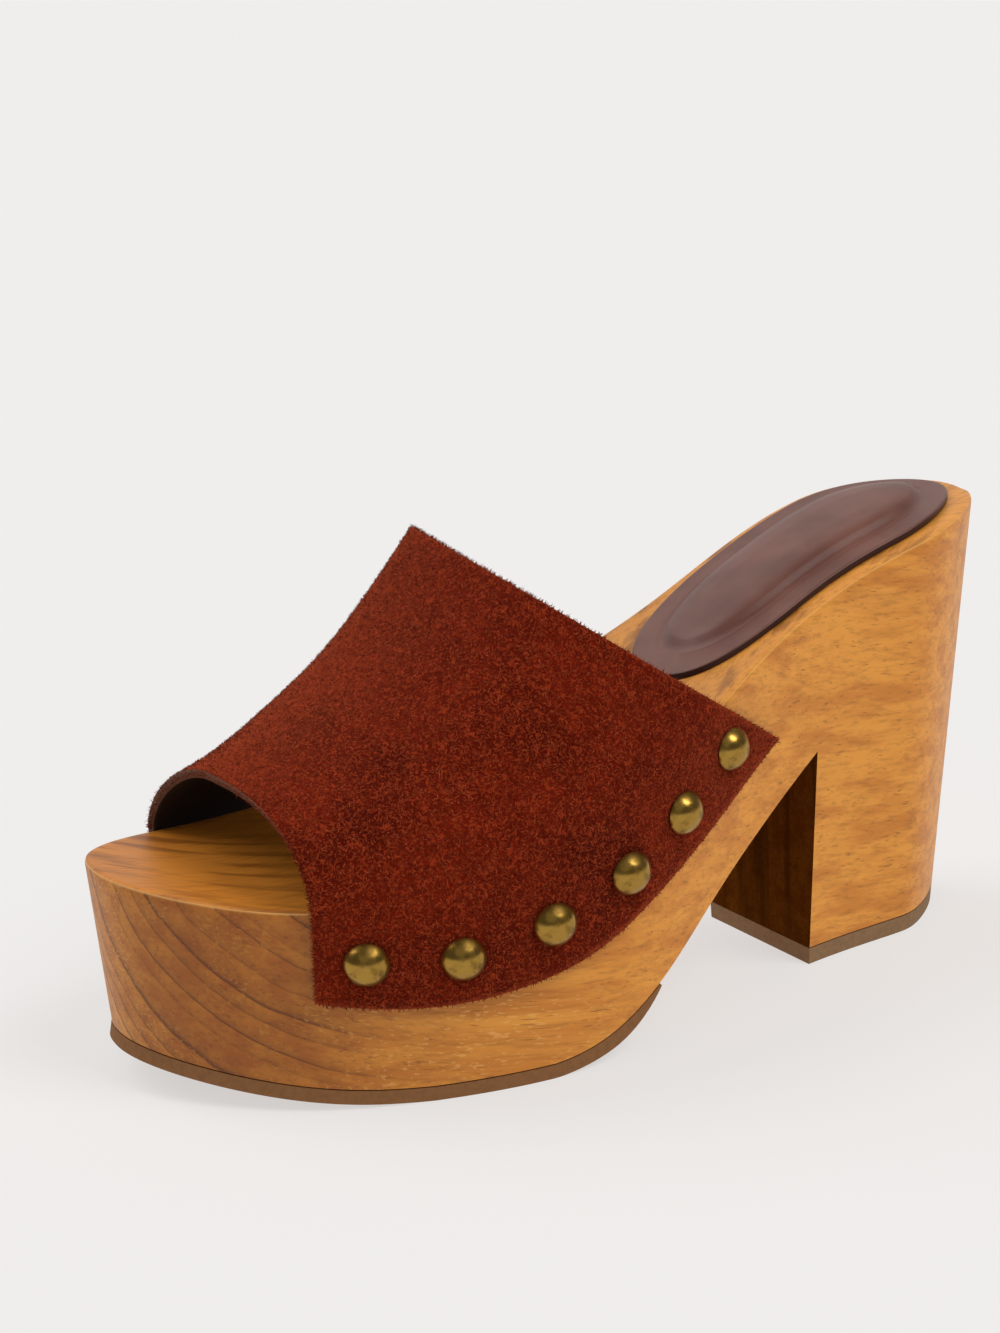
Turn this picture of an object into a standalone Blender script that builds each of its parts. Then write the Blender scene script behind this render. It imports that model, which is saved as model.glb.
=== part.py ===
"""Platform clog, left shoe: a one-piece wooden platform and heel, a suede upper held by domed nails,
a moulded heel pad, a rubber outsole and a rubber heel lift.

Frame: metres, +Z up, toe towards -Y, the outer (lateral) side towards +X. Along the shoe, `t` is the
distance from the back of the heel towards the toe. The parts stand on the floor, z = 0.
"""

import math

import bmesh
import bpy
import numpy as np
from mathutils import Vector

# Last and platform
SOLE_LENGTH = 0.232
BALL_WIDTH = 0.085
HEEL_HEIGHT = 0.1047
PLATFORM_HEIGHT = 0.0476
SEAT_TILT = 0.0035
HEEL_ROUND = 0.0343
TOE_ROUND = 0.0482
TOE_POWER = 2.2
EDGE_ROUND = 0.0010

# How far each wall leans inward for each metre that it drops
TOE_DRAFT = 0.045
HEEL_DRAFT = 0.142
SIDE_DRAFT = 0.075

# Underside: the arch, the toe spring and the front face of the heel
ARCH_HEIGHT = 0.0495
TOE_SPRING = 0.0092
BREAST_DISTANCE = 0.0686
BREAST_LEAN = math.radians(-1.8)
BREAST_TURN = math.radians(-5.1)

# Rubber
OUTSOLE_THICKNESS = 0.0032
OUTSOLE_START = 0.1185
OUTSOLE_SKIVE = 0.016
OUTSOLE_THIN_END = 0.0006
LIFT_THICKNESS = 0.0044

# Upper: the toe edge and the topline are each a plane cut through the leather
# Each cut starts at a corner on the outer side, at a share of SOLE_LENGTH
SUEDE_WALL = 0.0022
INSTEP_HEIGHT = 0.0557
LASTING_DEPTH = 0.0295
TOE_EDGE_ALONG = 0.854
TOE_EDGE_TURN = math.radians(-8.0)
TOPLINE_ALONG = 0.341
TOPLINE_LEAN = math.radians(53.9)
TOPLINE_TURN = math.radians(5.7)

# Heel pad
PAD_BACK = 0.0070
PAD_FRONT = 0.0995
PAD_MARGIN = 0.0052
PAD_BACK_ROUND = 0.0300
PAD_FRONT_ROUND = 0.0340
PAD_THICKNESS = 0.0016
PAD_RISE = 0.0022
PAD_RIM = 0.0075

# Nails
NAIL_HEAD_RADIUS = 0.0050
NAIL_HEAD_RISE = 0.0032
NAIL_RIM = 0.0006
SHANK_RADIUS = 0.0010
SHANK_LENGTH = 0.0100

# Pieces that meet are this far apart
CLEARANCE = 0.0003

# Plan and height of the platform's top edge, from heel to toe
# along: share of SOLE_LENGTH; half_width and centre: shares of BALL_WIDTH, + is lateral
# pitch: share of the heel's height above the forefoot; tilt: the inner edge's extra height, share of SEAT_TILT
FOOTBED = [
    {"along": 0.00, "half_width": 0.215, "centre": -0.026, "pitch": 1.000, "tilt": 1.00},
    {"along": 0.10, "half_width": 0.311, "centre": -0.020, "pitch": 0.960, "tilt": 0.60},
    {"along": 0.22, "half_width": 0.326, "centre": 0.008, "pitch": 0.846, "tilt": 0.23},
    {"along": 0.35, "half_width": 0.337, "centre": 0.073, "pitch": 0.637, "tilt": 0.05},
    {"along": 0.50, "half_width": 0.441, "centre": 0.113, "pitch": 0.347, "tilt": 0.05},
    {"along": 0.67, "half_width": 0.500, "centre": 0.076, "pitch": 0.104, "tilt": -0.11},
    {"along": 0.85, "half_width": 0.460, "centre": -0.030, "pitch": 0.000, "tilt": -0.28},
    {"along": 1.00, "half_width": 0.372, "centre": -0.121, "pitch": 0.074, "tilt": -0.15},
]

# Height of the wood's underside above its lowest line
# along: share of SOLE_LENGTH; arch: share of ARCH_HEIGHT; spring: share of TOE_SPRING
UNDERSIDE = [
    {"along": 0.22, "arch": 1.240, "spring": 0.00},
    {"along": 0.29, "arch": 1.000, "spring": 0.00},
    {"along": 0.36, "arch": 0.762, "spring": 0.00},
    {"along": 0.43, "arch": 0.527, "spring": 0.00},
    {"along": 0.50, "arch": 0.267, "spring": 0.00},
    {"along": 0.57, "arch": 0.072, "spring": 0.00},
    {"along": 0.64, "arch": -0.003, "spring": 0.00},
    {"along": 0.69, "arch": -0.007, "spring": 0.00},
    {"along": 0.74, "arch": 0.000, "spring": -0.01},
    {"along": 0.86, "arch": 0.000, "spring": 0.25},
    {"along": 1.00, "arch": 0.000, "spring": 1.00},
]

# Cross-sections of the upper above the platform's edge
# rise: share of INSTEP_HEIGHT; crown: sideways place of the crown from mid-section, share of BALL_WIDTH
# outer, inner: roundness of the two sides, where 2 is an ellipse and less is flatter
UPPER_SECTIONS = [
    {"along": 0.34, "rise": 2.530, "crown": -0.543, "outer": 1.49, "inner": 3.77},
    {"along": 0.45, "rise": 1.815, "crown": -0.440, "outer": 1.67, "inner": 3.34},
    {"along": 0.56, "rise": 1.265, "crown": -0.336, "outer": 1.85, "inner": 2.90},
    {"along": 0.62, "rise": 1.020, "crown": -0.279, "outer": 1.95, "inner": 2.66},
    {"along": 0.71, "rise": 0.738, "crown": -0.194, "outer": 2.10, "inner": 2.30},
    {"along": 0.78, "rise": 0.578, "crown": -0.131, "outer": 2.21, "inner": 2.03},
    {"along": 0.86, "rise": 0.431, "crown": -0.052, "outer": 2.35, "inner": 1.70},
    {"along": 0.92, "rise": 0.357, "crown": 0.000, "outer": 2.45, "inner": 1.50},
]

# How far the upper reaches down the wood's wall, share of LASTING_DEPTH
LASTING = [
    {"along": 0.34, "depth": 0.745},
    {"along": 0.42, "depth": 0.810},
    {"along": 0.50, "depth": 0.900},
    {"along": 0.59, "depth": 1.000},
    {"along": 0.67, "depth": 0.970},
    {"along": 0.76, "depth": 0.855},
    {"along": 0.86, "depth": 0.690},
    {"along": 0.91, "depth": 0.640},
]

# Nails, from toe to heel: along is a share of SOLE_LENGTH, depth below the edge a share of LASTING_DEPTH
NAILS = [
    {"along": 0.811, "depth": 0.405},
    {"along": 0.725, "depth": 0.545},
    {"along": 0.636, "depth": 0.580},
    {"along": 0.553, "depth": 0.553},
    {"along": 0.485, "depth": 0.447},
    {"along": 0.417, "depth": 0.353},
]

# Mesh density
SAMPLES = 400
HEEL_COLUMNS = 9
FORE_COLUMNS = 24
UPPER_ROWS = 4
HEEL_ROWS = 3
CROSS_STEPS = 3
WALL_STEPS = 3
ARCH_STEPS = 24
LENGTH_STEPS = 15
PAD_POINTS = 18
NAIL_SEGMENTS = 14
NAIL_DOME_STEPS = 4
HOLE_SEGMENTS = 8

# Where the upper's cuts are looked for, shares of SOLE_LENGTH, and how finely
CUT_SEARCH_FROM = 0.20
CUT_SEARCH_TO = 0.98
HALVINGS = 24

OUTER = 1
INNER = -1


def spline(rows, column):
    """Natural cubic spline through one column of a table, as a function of the distance `t`."""
    knots = np.array([row["along"] for row in rows]) * SOLE_LENGTH
    values = np.array([row[column] for row in rows], float)
    gaps = np.diff(knots)
    slopes = np.diff(values) / gaps
    count = len(knots)
    system = np.eye(count)
    right = np.zeros(count)
    for i in range(1, count - 1):
        system[i, i - 1 : i + 2] = gaps[i - 1], 2 * (gaps[i - 1] + gaps[i]), gaps[i]
        right[i] = 6 * (slopes[i] - slopes[i - 1])
    bends = np.linalg.solve(system, right)

    def at(t):
        t = np.clip(np.asarray(t, float), knots[0], knots[-1])
        i = np.clip(np.searchsorted(knots, t) - 1, 0, count - 2)
        left = t - knots[i]
        rest = knots[i + 1] - t
        curved = (bends[i] * rest**3 + bends[i + 1] * left**3) / (6 * gaps[i])
        from_left = values[i] / gaps[i] - bends[i] * gaps[i] / 6
        from_right = values[i + 1] / gaps[i] - bends[i + 1] * gaps[i] / 6
        return curved + from_left * rest + from_right * left

    return at


half_width_share = spline(FOOTBED, "half_width")
centre_share = spline(FOOTBED, "centre")
pitch_share = spline(FOOTBED, "pitch")
tilt_share = spline(FOOTBED, "tilt")
arch_share = spline(UNDERSIDE, "arch")
spring_share = spline(UNDERSIDE, "spring")


def end_rounding(t, start, end, start_round, end_round, end_power=2.0):
    """From 0 at each end of the outline to 1 between its two round ends."""
    back = np.clip(1 - (t - start) / start_round, 0, 1)
    front = np.clip(1 - (end - t) / end_round, 0, 1)
    return np.sqrt(1 - back**2) * (1 - front**end_power) ** (1 / end_power)


def sole_rounding(t):
    return end_rounding(t, 0, SOLE_LENGTH, HEEL_ROUND, TOE_ROUND, TOE_POWER)


def underside(t):
    """Height of the wood's underside. The ball of the foot has a flat stretch."""
    rise = ARCH_HEIGHT * arch_share(t) + TOE_SPRING * spring_share(t)
    return OUTSOLE_THICKNESS + CLEARANCE + np.maximum(rise, 0)


def along_of(s):
    """Distance along the shoe, with the points drawn together at the heel and the toe."""
    return SOLE_LENGTH * (1 - np.cos(math.pi * s)) / 2


def edge_plan(t, side):
    """Sideways place of the platform's top edge."""
    return BALL_WIDTH * (centre_share(t) + side * half_width_share(t) * sole_rounding(t))


def edge_height(t, side):
    """Height of the platform's top edge. Both sides meet at the same height at the two ends."""
    height = PLATFORM_HEIGHT + (HEEL_HEIGHT - PLATFORM_HEIGHT) * pitch_share(t)
    if side == OUTER:
        return height
    return height + SEAT_TILT * tilt_share(t) * sole_rounding(t)


def sampled_edge(side):
    """The top edge from heel to toe, with its outward direction in plan."""
    s = np.linspace(0, 1, SAMPLES)
    t = along_of(s)
    x = edge_plan(t, side)
    along, across = np.gradient(t), np.gradient(x)
    length = np.hypot(along, across)
    normal_t = -side * across / length
    normal_x = side * along / length
    normal_t[[0, -1]] = -1, 1
    normal_x[[0, -1]] = 0
    return {"s": s, "t": t, "x": x, "z": edge_height(t, side), "normal_t": normal_t, "normal_x": normal_x}


EDGES = {side: sampled_edge(side) for side in (OUTER, INNER)}


def wall_ring(side, z, outward=0.0):
    """The whole wall of one side at height z, as arrays of t and x, moved outward by a distance."""
    edge = EDGES[side]
    drop = edge["z"] - z
    end_draft = np.where(edge["normal_t"] > 0, TOE_DRAFT, HEEL_DRAFT)
    t = edge["t"] + edge["normal_t"] * (outward - end_draft * drop)
    x = edge["x"] + edge["normal_x"] * (outward - SIDE_DRAFT * drop)
    return t, x


def wall_point(side, s, z, outward=0.0):
    """(t, x) on the wall, in the column that starts at s on the top edge."""
    t, x = wall_ring(side, z, outward)
    return float(np.interp(s, EDGES[side]["s"], t)), float(np.interp(s, EDGES[side]["s"], x))


def wall_x(side, t, z, outward=0.0):
    """Sideways place of the wall at a distance t and a height z."""
    ring_t, ring_x = wall_ring(side, z, outward)
    return float(np.interp(t, ring_t, ring_x))


def top_of_wall(side, s):
    return float(np.interp(s, EDGES[side]["s"], EDGES[side]["z"]))


def breast_t(x, z):
    """The front face of the heel: a plane that leans and is turned a little."""
    return BREAST_DISTANCE + math.tan(BREAST_LEAN) * z + math.tan(BREAST_TURN) * x


def breast_corner(side, z):
    """(s, t, x) where the wall meets the heel's front face at height z."""
    t, x = wall_ring(side, z)
    beyond = t - breast_t(x, z)
    s = float(np.interp(0.0, beyond, EDGES[side]["s"]))
    return s, *wall_point(side, s, z)


def notch(side):
    """(s, z) of the corner where the arch meets the heel's front face."""
    z = ARCH_HEIGHT
    for _ in range(20):
        s, t, _x = breast_corner(side, z)
        z = float(underside(t))
    return s, z


def lowest_of_column(side, s):
    """Height at which a column of the forefoot's wall meets the underside."""
    z = OUTSOLE_THICKNESS
    for _ in range(20):
        t, _x = wall_point(side, s, z)
        z = float(underside(t))
    return z


def place(t, x, z):
    return Vector((x, SOLE_LENGTH / 2 - t, z))


def footbed_height(t, x):
    """Height of the platform's top at a distance t and a sideways place x."""
    inner, outer = edge_plan(t, INNER), edge_plan(t, OUTER)
    share = np.clip((x - inner) / np.maximum(outer - inner, 1e-6), 0, 1)
    return edge_height(t, INNER) * (1 - share) + edge_height(t, OUTER) * share


# Mesh helpers


def add_grid(bm, rows):
    """Faces between rows of points. Points that coincide are welded later."""
    verts = [[bm.verts.new(point) for point in row] for row in rows]
    for upper, lower in zip(verts, verts[1:]):
        for a, b, c, d in zip(upper, upper[1:], lower[1:], lower):
            bm.faces.new((a, b, c, d))


def ladder(outer, inner, steps=CROSS_STEPS):
    """Rows of points across the shoe, between paired points of its two sides."""
    return [[a.lerp(b, k / steps) for k in range(steps + 1)] for a, b in zip(outer, inner)]


def paint(name, colour, roughness, metallic=0.0):
    material = bpy.data.materials.new(name)
    material.use_nodes = True
    shader = material.node_tree.nodes["Principled BSDF"]
    shader.inputs["Base Color"].default_value = (*colour, 1.0)
    shader.inputs["Roughness"].default_value = roughness
    shader.inputs["Metallic"].default_value = metallic
    material.diffuse_color = (*colour, 1.0)
    return material


def to_object(bm, name, material, sharp_angle=math.radians(35)):
    """Weld the patches into one closed mesh and put it in the scene."""
    bmesh.ops.remove_doubles(bm, verts=bm.verts, dist=1e-6)
    bmesh.ops.dissolve_degenerate(bm, edges=bm.edges, dist=1e-6)
    bmesh.ops.recalc_face_normals(bm, faces=bm.faces)
    if bm.calc_volume(signed=True) < 0:
        bmesh.ops.reverse_faces(bm, faces=bm.faces)
    mesh = bpy.data.meshes.new(name)
    bm.to_mesh(mesh)
    bm.free()
    mesh.shade_smooth()
    mesh.set_sharp_from_angle(angle=sharp_angle)
    mesh.materials.append(material)
    obj = bpy.data.objects.new(name, mesh)
    bpy.context.scene.collection.objects.link(obj)
    return obj


# Wooden platform and heel


def top_edge_points(side, s):
    """Points of the rounded top edge, from the footbed out to the wall."""
    z = top_of_wall(side, s)
    points = []
    for angle in (math.pi / 2, math.pi / 4, 0.0):
        inset = EDGE_ROUND * (1 - math.cos(angle))
        height = z - EDGE_ROUND * (1 - math.sin(angle))
        points.append(place(*wall_point(side, s, height, -inset), height))
    return points


def wall_column(side, s, low, steps):
    """Points down the wall, from below the rounded edge to the height `low`."""
    high = top_of_wall(side, s) - EDGE_ROUND
    heights = [high + (low - high) * k / steps for k in range(steps + 1)]
    return [place(*wall_point(side, s, z), z) for z in heights]


def breast_column(side, high):
    """Points down the corner of the heel's front face."""
    heights = [high + (LIFT_THICKNESS - high) * k / HEEL_ROWS for k in range(HEEL_ROWS + 1)]
    return [place(*breast_corner(side, z)[1:], z) for z in heights]


def build_wood():
    bm = bmesh.new()
    corners = {side: notch(side) for side in (OUTER, INNER)}
    back_height = (corners[OUTER][1] + corners[INNER][1]) / 2
    tops, unders, seats, breasts = {}, {}, {}, {}
    for side in (OUTER, INNER):
        notch_s, notch_z = corners[side]
        heel_s = [notch_s * k / HEEL_COLUMNS for k in range(HEEL_COLUMNS + 1)]
        fore_s = [notch_s + (1 - notch_s) * k / FORE_COLUMNS for k in range(FORE_COLUMNS + 1)]
        heel_upper, heel_lower = [], []
        for s in heel_s:
            level = back_height + (notch_z - back_height) * s / notch_s
            heel_upper.append(wall_column(side, s, level, UPPER_ROWS))
            heights = [level + (LIFT_THICKNESS - level) * k / HEEL_ROWS for k in range(HEEL_ROWS + 1)]
            heel_lower.append([place(*wall_point(side, s, z), z) for z in heights])
        breasts[side] = breast_column(side, notch_z)
        heel_lower[-1] = breasts[side]
        fore = [wall_column(side, s, lowest_of_column(side, s), UPPER_ROWS) for s in fore_s]
        add_grid(bm, heel_upper)
        add_grid(bm, heel_lower)
        add_grid(bm, fore)
        edge = [top_edge_points(side, s) for s in heel_s + fore_s[1:]]
        add_grid(bm, edge)
        tops[side] = [points[0] for points in edge]
        unders[side] = [column[-1] for column in fore]
        seats[side] = [column[-1] for column in heel_lower]
    for ends in (tops, unders, seats, breasts):
        add_grid(bm, ladder(ends[OUTER], ends[INNER]))
    return to_object(bm, "wood_base", paint("clog wood", (0.52, 0.20, 0.045), 0.42))


# Rubber outsole and heel lift


def outsole_thickness(t):
    """Full thickness, skived to a thin edge where the arch starts."""
    share = np.clip((t - OUTSOLE_START) / OUTSOLE_SKIVE, 0, 1)
    return OUTSOLE_THIN_END + (OUTSOLE_THICKNESS - OUTSOLE_THIN_END) * share * (2 - share)


def below_wood(t, depth):
    """(t, z) at a depth square to the wood's underside."""
    step = 1e-4
    slope = float(underside(t + step) - underside(t - step)) / (2 * step)
    length = math.hypot(1, slope)
    return t + depth * slope / length, float(underside(t)) - depth / length


def build_outsole():
    bm = bmesh.new()
    rims = {"top": {}, "bottom": {}}
    for side in (OUTER, INNER):
        start_s = outsole_start_column(side)
        columns = [start_s + (1 - start_s) * k / FORE_COLUMNS for k in range(FORE_COLUMNS + 1)]
        top, bottom = [], []
        for s in columns:
            t, x = wall_point(side, s, lowest_of_column(side, s))
            top_t, top_z = below_wood(t, CLEARANCE)
            low_t, low_z = below_wood(t, CLEARANCE + float(outsole_thickness(t)))
            top.append(place(top_t, x, top_z))
            bottom.append(place(low_t, x, low_z))
        rims["top"][side], rims["bottom"][side] = top, bottom
        add_grid(bm, [[a, b] for a, b in zip(top, bottom)])
    for rim in rims.values():
        add_grid(bm, ladder(rim[OUTER], rim[INNER]))
    start = [[rims[level][side][0] for side in (OUTER, INNER)] for level in ("top", "bottom")]
    add_grid(bm, [ladder([row[0]], [row[1]])[0] for row in start])
    return to_object(bm, "forefoot_outsole", paint("outsole rubber", (0.20, 0.155, 0.12), 0.75))


def outsole_start_column(side):
    """The column whose foot on the underside is where the outsole starts."""
    columns = np.linspace(0.3, 0.9, 61)
    feet = [wall_point(side, s, lowest_of_column(side, s))[0] for s in columns]
    return float(np.interp(OUTSOLE_START, feet, columns))


def build_lift():
    bm = bmesh.new()
    rims = []
    for z in (LIFT_THICKNESS - CLEARANCE, 0.0):
        rim = {}
        for side in (OUTER, INNER):
            corner_s, corner_t, corner_x = breast_corner(side, z)
            columns = [corner_s * k / HEEL_COLUMNS for k in range(HEEL_COLUMNS)]
            rim[side] = [place(*wall_point(side, s, z), z) for s in columns]
            rim[side].append(place(corner_t, corner_x, z))
        rims.append(rim)
        add_grid(bm, ladder(rim[OUTER], rim[INNER]))
    for side in (OUTER, INNER):
        add_grid(bm, [rim[side] for rim in rims])
    add_grid(bm, [ladder([rim[OUTER][-1]], [rim[INNER][-1]])[0] for rim in rims])
    return to_object(bm, "heel_lift", paint("lift rubber", (0.20, 0.155, 0.12), 0.75))


# Suede upper

rise_share = spline(UPPER_SECTIONS, "rise")
crown_share = spline(UPPER_SECTIONS, "crown")
outer_power = spline(UPPER_SECTIONS, "outer")
inner_power = spline(UPPER_SECTIONS, "inner")
lasting_share = spline(LASTING, "depth")


def upper_section(t, angle):
    """Point of the upper's outer face above the platform: angle 0 is the outer edge, pi the inner one."""
    side = OUTER if math.cos(angle) >= 0 else INNER
    power = float(outer_power(t) if side == OUTER else inner_power(t))
    reach = CLEARANCE + SUEDE_WALL
    base_z = {each: float(edge_height(t, each)) for each in (OUTER, INNER)}
    base_x = {each: wall_x(each, t, base_z[each], reach) for each in (OUTER, INNER)}
    crown_x = (base_x[OUTER] + base_x[INNER]) / 2 + BALL_WIDTH * float(crown_share(t))
    crown_z = (base_z[OUTER] + base_z[INNER]) / 2 + INSTEP_HEIGHT * float(rise_share(t))
    sideways = abs(math.cos(angle)) ** (2 / power)
    upwards = max(math.sin(angle), 0.0) ** (2 / power)
    x = crown_x + (base_x[side] - crown_x) * sideways
    z = base_z[side] + (crown_z - base_z[side]) * upwards
    return place(t, x, z)


def upper_wall_point(side, t, share):
    """The same down the wood's wall: share 0 is the platform's edge, 1 the upper's lower edge."""
    z = float(edge_height(t, side)) - share * LASTING_DEPTH * float(lasting_share(t))
    return place(t, wall_x(side, t, z, CLEARANCE + SUEDE_WALL), z)


def beyond_toe_edge(point, pivot):
    """How far a point lies towards the toe from the plane of the toe edge."""
    return (pivot.y - point.y) - math.tan(TOE_EDGE_TURN) * (point.x - pivot.x)


def beyond_topline(point, pivot):
    """How far a point lies towards the toe from the plane of the topline."""
    lean = math.tan(TOPLINE_LEAN) * (point.z - pivot.z)
    turn = math.tan(TOPLINE_TURN) * (point.x - pivot.x)
    return (pivot.y - point.y) - lean - turn


def cut_distance(line, beyond, pivot):
    """The distance t at which a lengthwise line of the upper crosses a plane, by halving."""
    low, high = CUT_SEARCH_FROM * SOLE_LENGTH, CUT_SEARCH_TO * SOLE_LENGTH
    for _ in range(HALVINGS):
        middle = (low + high) / 2
        if beyond(line(middle), pivot) < 0:
            low = middle
        else:
            high = middle
    return (low + high) / 2


def upper_lines():
    """Functions of t that give the upper's lengthwise lines, from its outer lower edge to its inner one."""
    lines = []
    for step in range(WALL_STEPS, 0, -1):
        lines.append(lambda t, share=step / WALL_STEPS: upper_wall_point(OUTER, t, share))
    for step in range(ARCH_STEPS + 1):
        lines.append(lambda t, angle=math.pi * step / ARCH_STEPS: upper_section(t, angle))
    for step in range(1, WALL_STEPS + 1):
        lines.append(lambda t, share=step / WALL_STEPS: upper_wall_point(INNER, t, share))
    return lines


def build_upper():
    """The outer face between the two plane cuts, then given its thickness inward."""
    toe_pivot = upper_wall_point(OUTER, TOE_EDGE_ALONG * SOLE_LENGTH, 0.0)
    topline_pivot = upper_wall_point(OUTER, TOPLINE_ALONG * SOLE_LENGTH, 1.0)
    rows = []
    for line in upper_lines():
        toe = cut_distance(line, beyond_toe_edge, toe_pivot)
        topline = cut_distance(line, beyond_topline, topline_pivot)
        stations = [toe + (topline - toe) * k / LENGTH_STEPS for k in range(LENGTH_STEPS + 1)]
        rows.append([line(t) for t in stations])
    bm = bmesh.new()
    add_grid(bm, rows)
    upper = to_object(bm, "suede_upper", paint("rust suede", (0.16, 0.022, 0.008), 0.9))
    if upper_faces_inward(upper.data):
        upper.data.flip_normals()
    wall = upper.modifiers.new("suede thickness", "SOLIDIFY")
    wall.thickness = SUEDE_WALL
    wall.offset = -1
    wall.use_even_offset = True
    return upper


def upper_faces_inward(mesh):
    """True if the crown's faces point down."""
    crown = max(mesh.polygons, key=lambda face: face.center.z)
    return crown.normal.z < 0


# Heel pad


def pad_ring(inset, rise):
    """Paired points of the pad's outline, drawn in by `inset` and `rise` above the footbed."""
    back, front = PAD_BACK + inset, PAD_FRONT - inset
    ring = {OUTER: [], INNER: []}
    for k in range(PAD_POINTS + 1):
        t = back + (front - back) * (1 - math.cos(math.pi * k / PAD_POINTS)) / 2
        ends = float(end_rounding(t, back, front, PAD_BACK_ROUND - inset, PAD_FRONT_ROUND - inset))
        half = BALL_WIDTH * float(half_width_share(t)) - PAD_MARGIN - inset
        centre = BALL_WIDTH * float(centre_share(t))
        for side in (OUTER, INNER):
            x = centre + side * half * ends
            ring[side].append(place(t, x, float(footbed_height(t, x)) + rise))
    return ring


def build_pad():
    bm = bmesh.new()
    low = CLEARANCE
    rim = low + PAD_THICKNESS
    crown = rim + PAD_RISE
    rings = [
        pad_ring(0.0, low),
        pad_ring(0.0, rim),
        pad_ring(PAD_RIM, rim),
        pad_ring(PAD_RIM + PAD_RISE, crown),
    ]
    for lower, higher in zip(rings, rings[1:]):
        for side in (OUTER, INNER):
            add_grid(bm, [lower[side], higher[side]])
    for ring in (rings[0], rings[-1]):
        add_grid(bm, ladder(ring[OUTER], ring[INNER]))
    return to_object(bm, "heel_pad", paint("pad leather", (0.18, 0.088, 0.070), 0.45))


# Nails


def nail_seat(side, row):
    """Place on the suede's outer face and the direction that it faces. The head's rim clears the face."""
    t = SOLE_LENGTH * row["along"]
    z = float(edge_height(t, side)) - LASTING_DEPTH * row["depth"]

    def on_face(ahead, above):
        return place(t + ahead, wall_x(side, t + ahead, z + above, CLEARANCE + SUEDE_WALL), z + above)

    reach = NAIL_HEAD_RADIUS
    front, back = on_face(reach, 0), on_face(-reach, 0)
    top, bottom = on_face(0, reach), on_face(0, -reach)
    facing = (front - back).cross(top - bottom).normalized()
    if facing.x * side < 0:
        facing.negate()
    seat = on_face(0, 0)
    hollow = max((rim - seat).dot(facing) for rim in (front, back, top, bottom))
    return seat + facing * max(hollow, 0.0), facing


def nail_profile():
    """Half of the nail in section, from the top of the head to the point."""
    ball = (NAIL_HEAD_RADIUS**2 + NAIL_HEAD_RISE**2) / (2 * NAIL_HEAD_RISE)
    sweep = math.asin(NAIL_HEAD_RADIUS / ball)
    base = CLEARANCE + NAIL_RIM
    dome = []
    for k in range(NAIL_DOME_STEPS + 1):
        angle = sweep * k / NAIL_DOME_STEPS
        dome.append((ball * math.sin(angle), base + NAIL_HEAD_RISE - ball * (1 - math.cos(angle))))
    point_length = 3 * SHANK_RADIUS
    return dome + [
        (NAIL_HEAD_RADIUS, CLEARANCE),
        (SHANK_RADIUS, CLEARANCE),
        (SHANK_RADIUS, point_length - SHANK_LENGTH),
        (0.0, -SHANK_LENGTH),
    ]


def turned(bm, profile, segments):
    """Spin a profile of (radius, height) round Z, and return its vertices."""
    verts = [bm.verts.new((radius, 0, height)) for radius, height in profile]
    edges = [bm.edges.new(pair) for pair in zip(verts, verts[1:])]
    bmesh.ops.spin(
        bm,
        geom=verts + edges,
        cent=(0, 0, 0),
        axis=(0, 0, 1),
        angle=math.tau,
        steps=segments,
        use_merge=True,
    )


def build_nails():
    bm = bmesh.new()
    turned(bm, nail_profile(), NAIL_SEGMENTS)
    first = to_object(bm, "nail_outer_1", paint("aged brass", (0.40, 0.27, 0.10), 0.30, 1.0))
    nails = []
    for side, name in ((OUTER, "outer"), (INNER, "inner")):
        for number, row in enumerate(NAILS, start=1):
            point, facing = nail_seat(side, row)
            nail = first if not nails else bpy.data.objects.new(f"nail_{name}_{number}", first.data)
            if nails:
                bpy.context.scene.collection.objects.link(nail)
            nail.location = point
            nail.rotation_euler = facing.to_track_quat("Z", "Y").to_euler()
            nails.append(nail)
    return nails


def build_nail_holes(nails):
    """One cutter for the holes of all the nails, through the suede and into the wood."""
    bm = bmesh.new()
    radius = SHANK_RADIUS + CLEARANCE
    out = CLEARANCE + NAIL_RIM
    depth = SHANK_LENGTH + CLEARANCE
    for nail in nails:
        before = set(bm.verts)
        turned(bm, [(0, out), (radius, out), (radius, -depth), (0, -depth)], HOLE_SEGMENTS)
        turn = nail.rotation_euler.to_quaternion()
        for vert in set(bm.verts) - before:
            vert.co = nail.location + turn @ vert.co
    holes = to_object(bm, "nail_holes", paint("cutter", (1, 1, 1), 1.0))
    holes.hide_render = True
    holes.display_type = "WIRE"
    return holes


def cut(obj, cutter):
    modifier = obj.modifiers.new("nail holes", "BOOLEAN")
    modifier.operation = "DIFFERENCE"
    modifier.solver = "EXACT"
    modifier.object = cutter


def centre_on_origin(objects):
    """Parent all to one empty, placed so that the shoe's box is centred on the origin."""
    frame = bpy.data.objects.new("shoe_frame", None)
    bpy.context.scene.collection.objects.link(frame)
    for obj in objects:
        obj.parent = frame
    bpy.context.view_layer.update()
    graph = bpy.context.evaluated_depsgraph_get()
    corners = []
    for obj in objects:
        if not obj.hide_render:
            mesh = obj.evaluated_get(graph).to_mesh()
            corners += [obj.matrix_world @ vert.co for vert in mesh.vertices]
    for axis in range(2):
        values = [corner[axis] for corner in corners]
        frame.location[axis] = -(min(values) + max(values)) / 2


def main():
    for obj in list(bpy.data.objects):
        bpy.data.objects.remove(obj, do_unlink=True)
    wood = build_wood()
    outsole = build_outsole()
    lift = build_lift()
    upper = build_upper()
    pad = build_pad()
    nails = build_nails()
    holes = build_nail_holes(nails)
    cut(wood, holes)
    cut(upper, holes)
    centre_on_origin([wood, outsole, lift, upper, pad, holes, *nails])


main()
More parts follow.
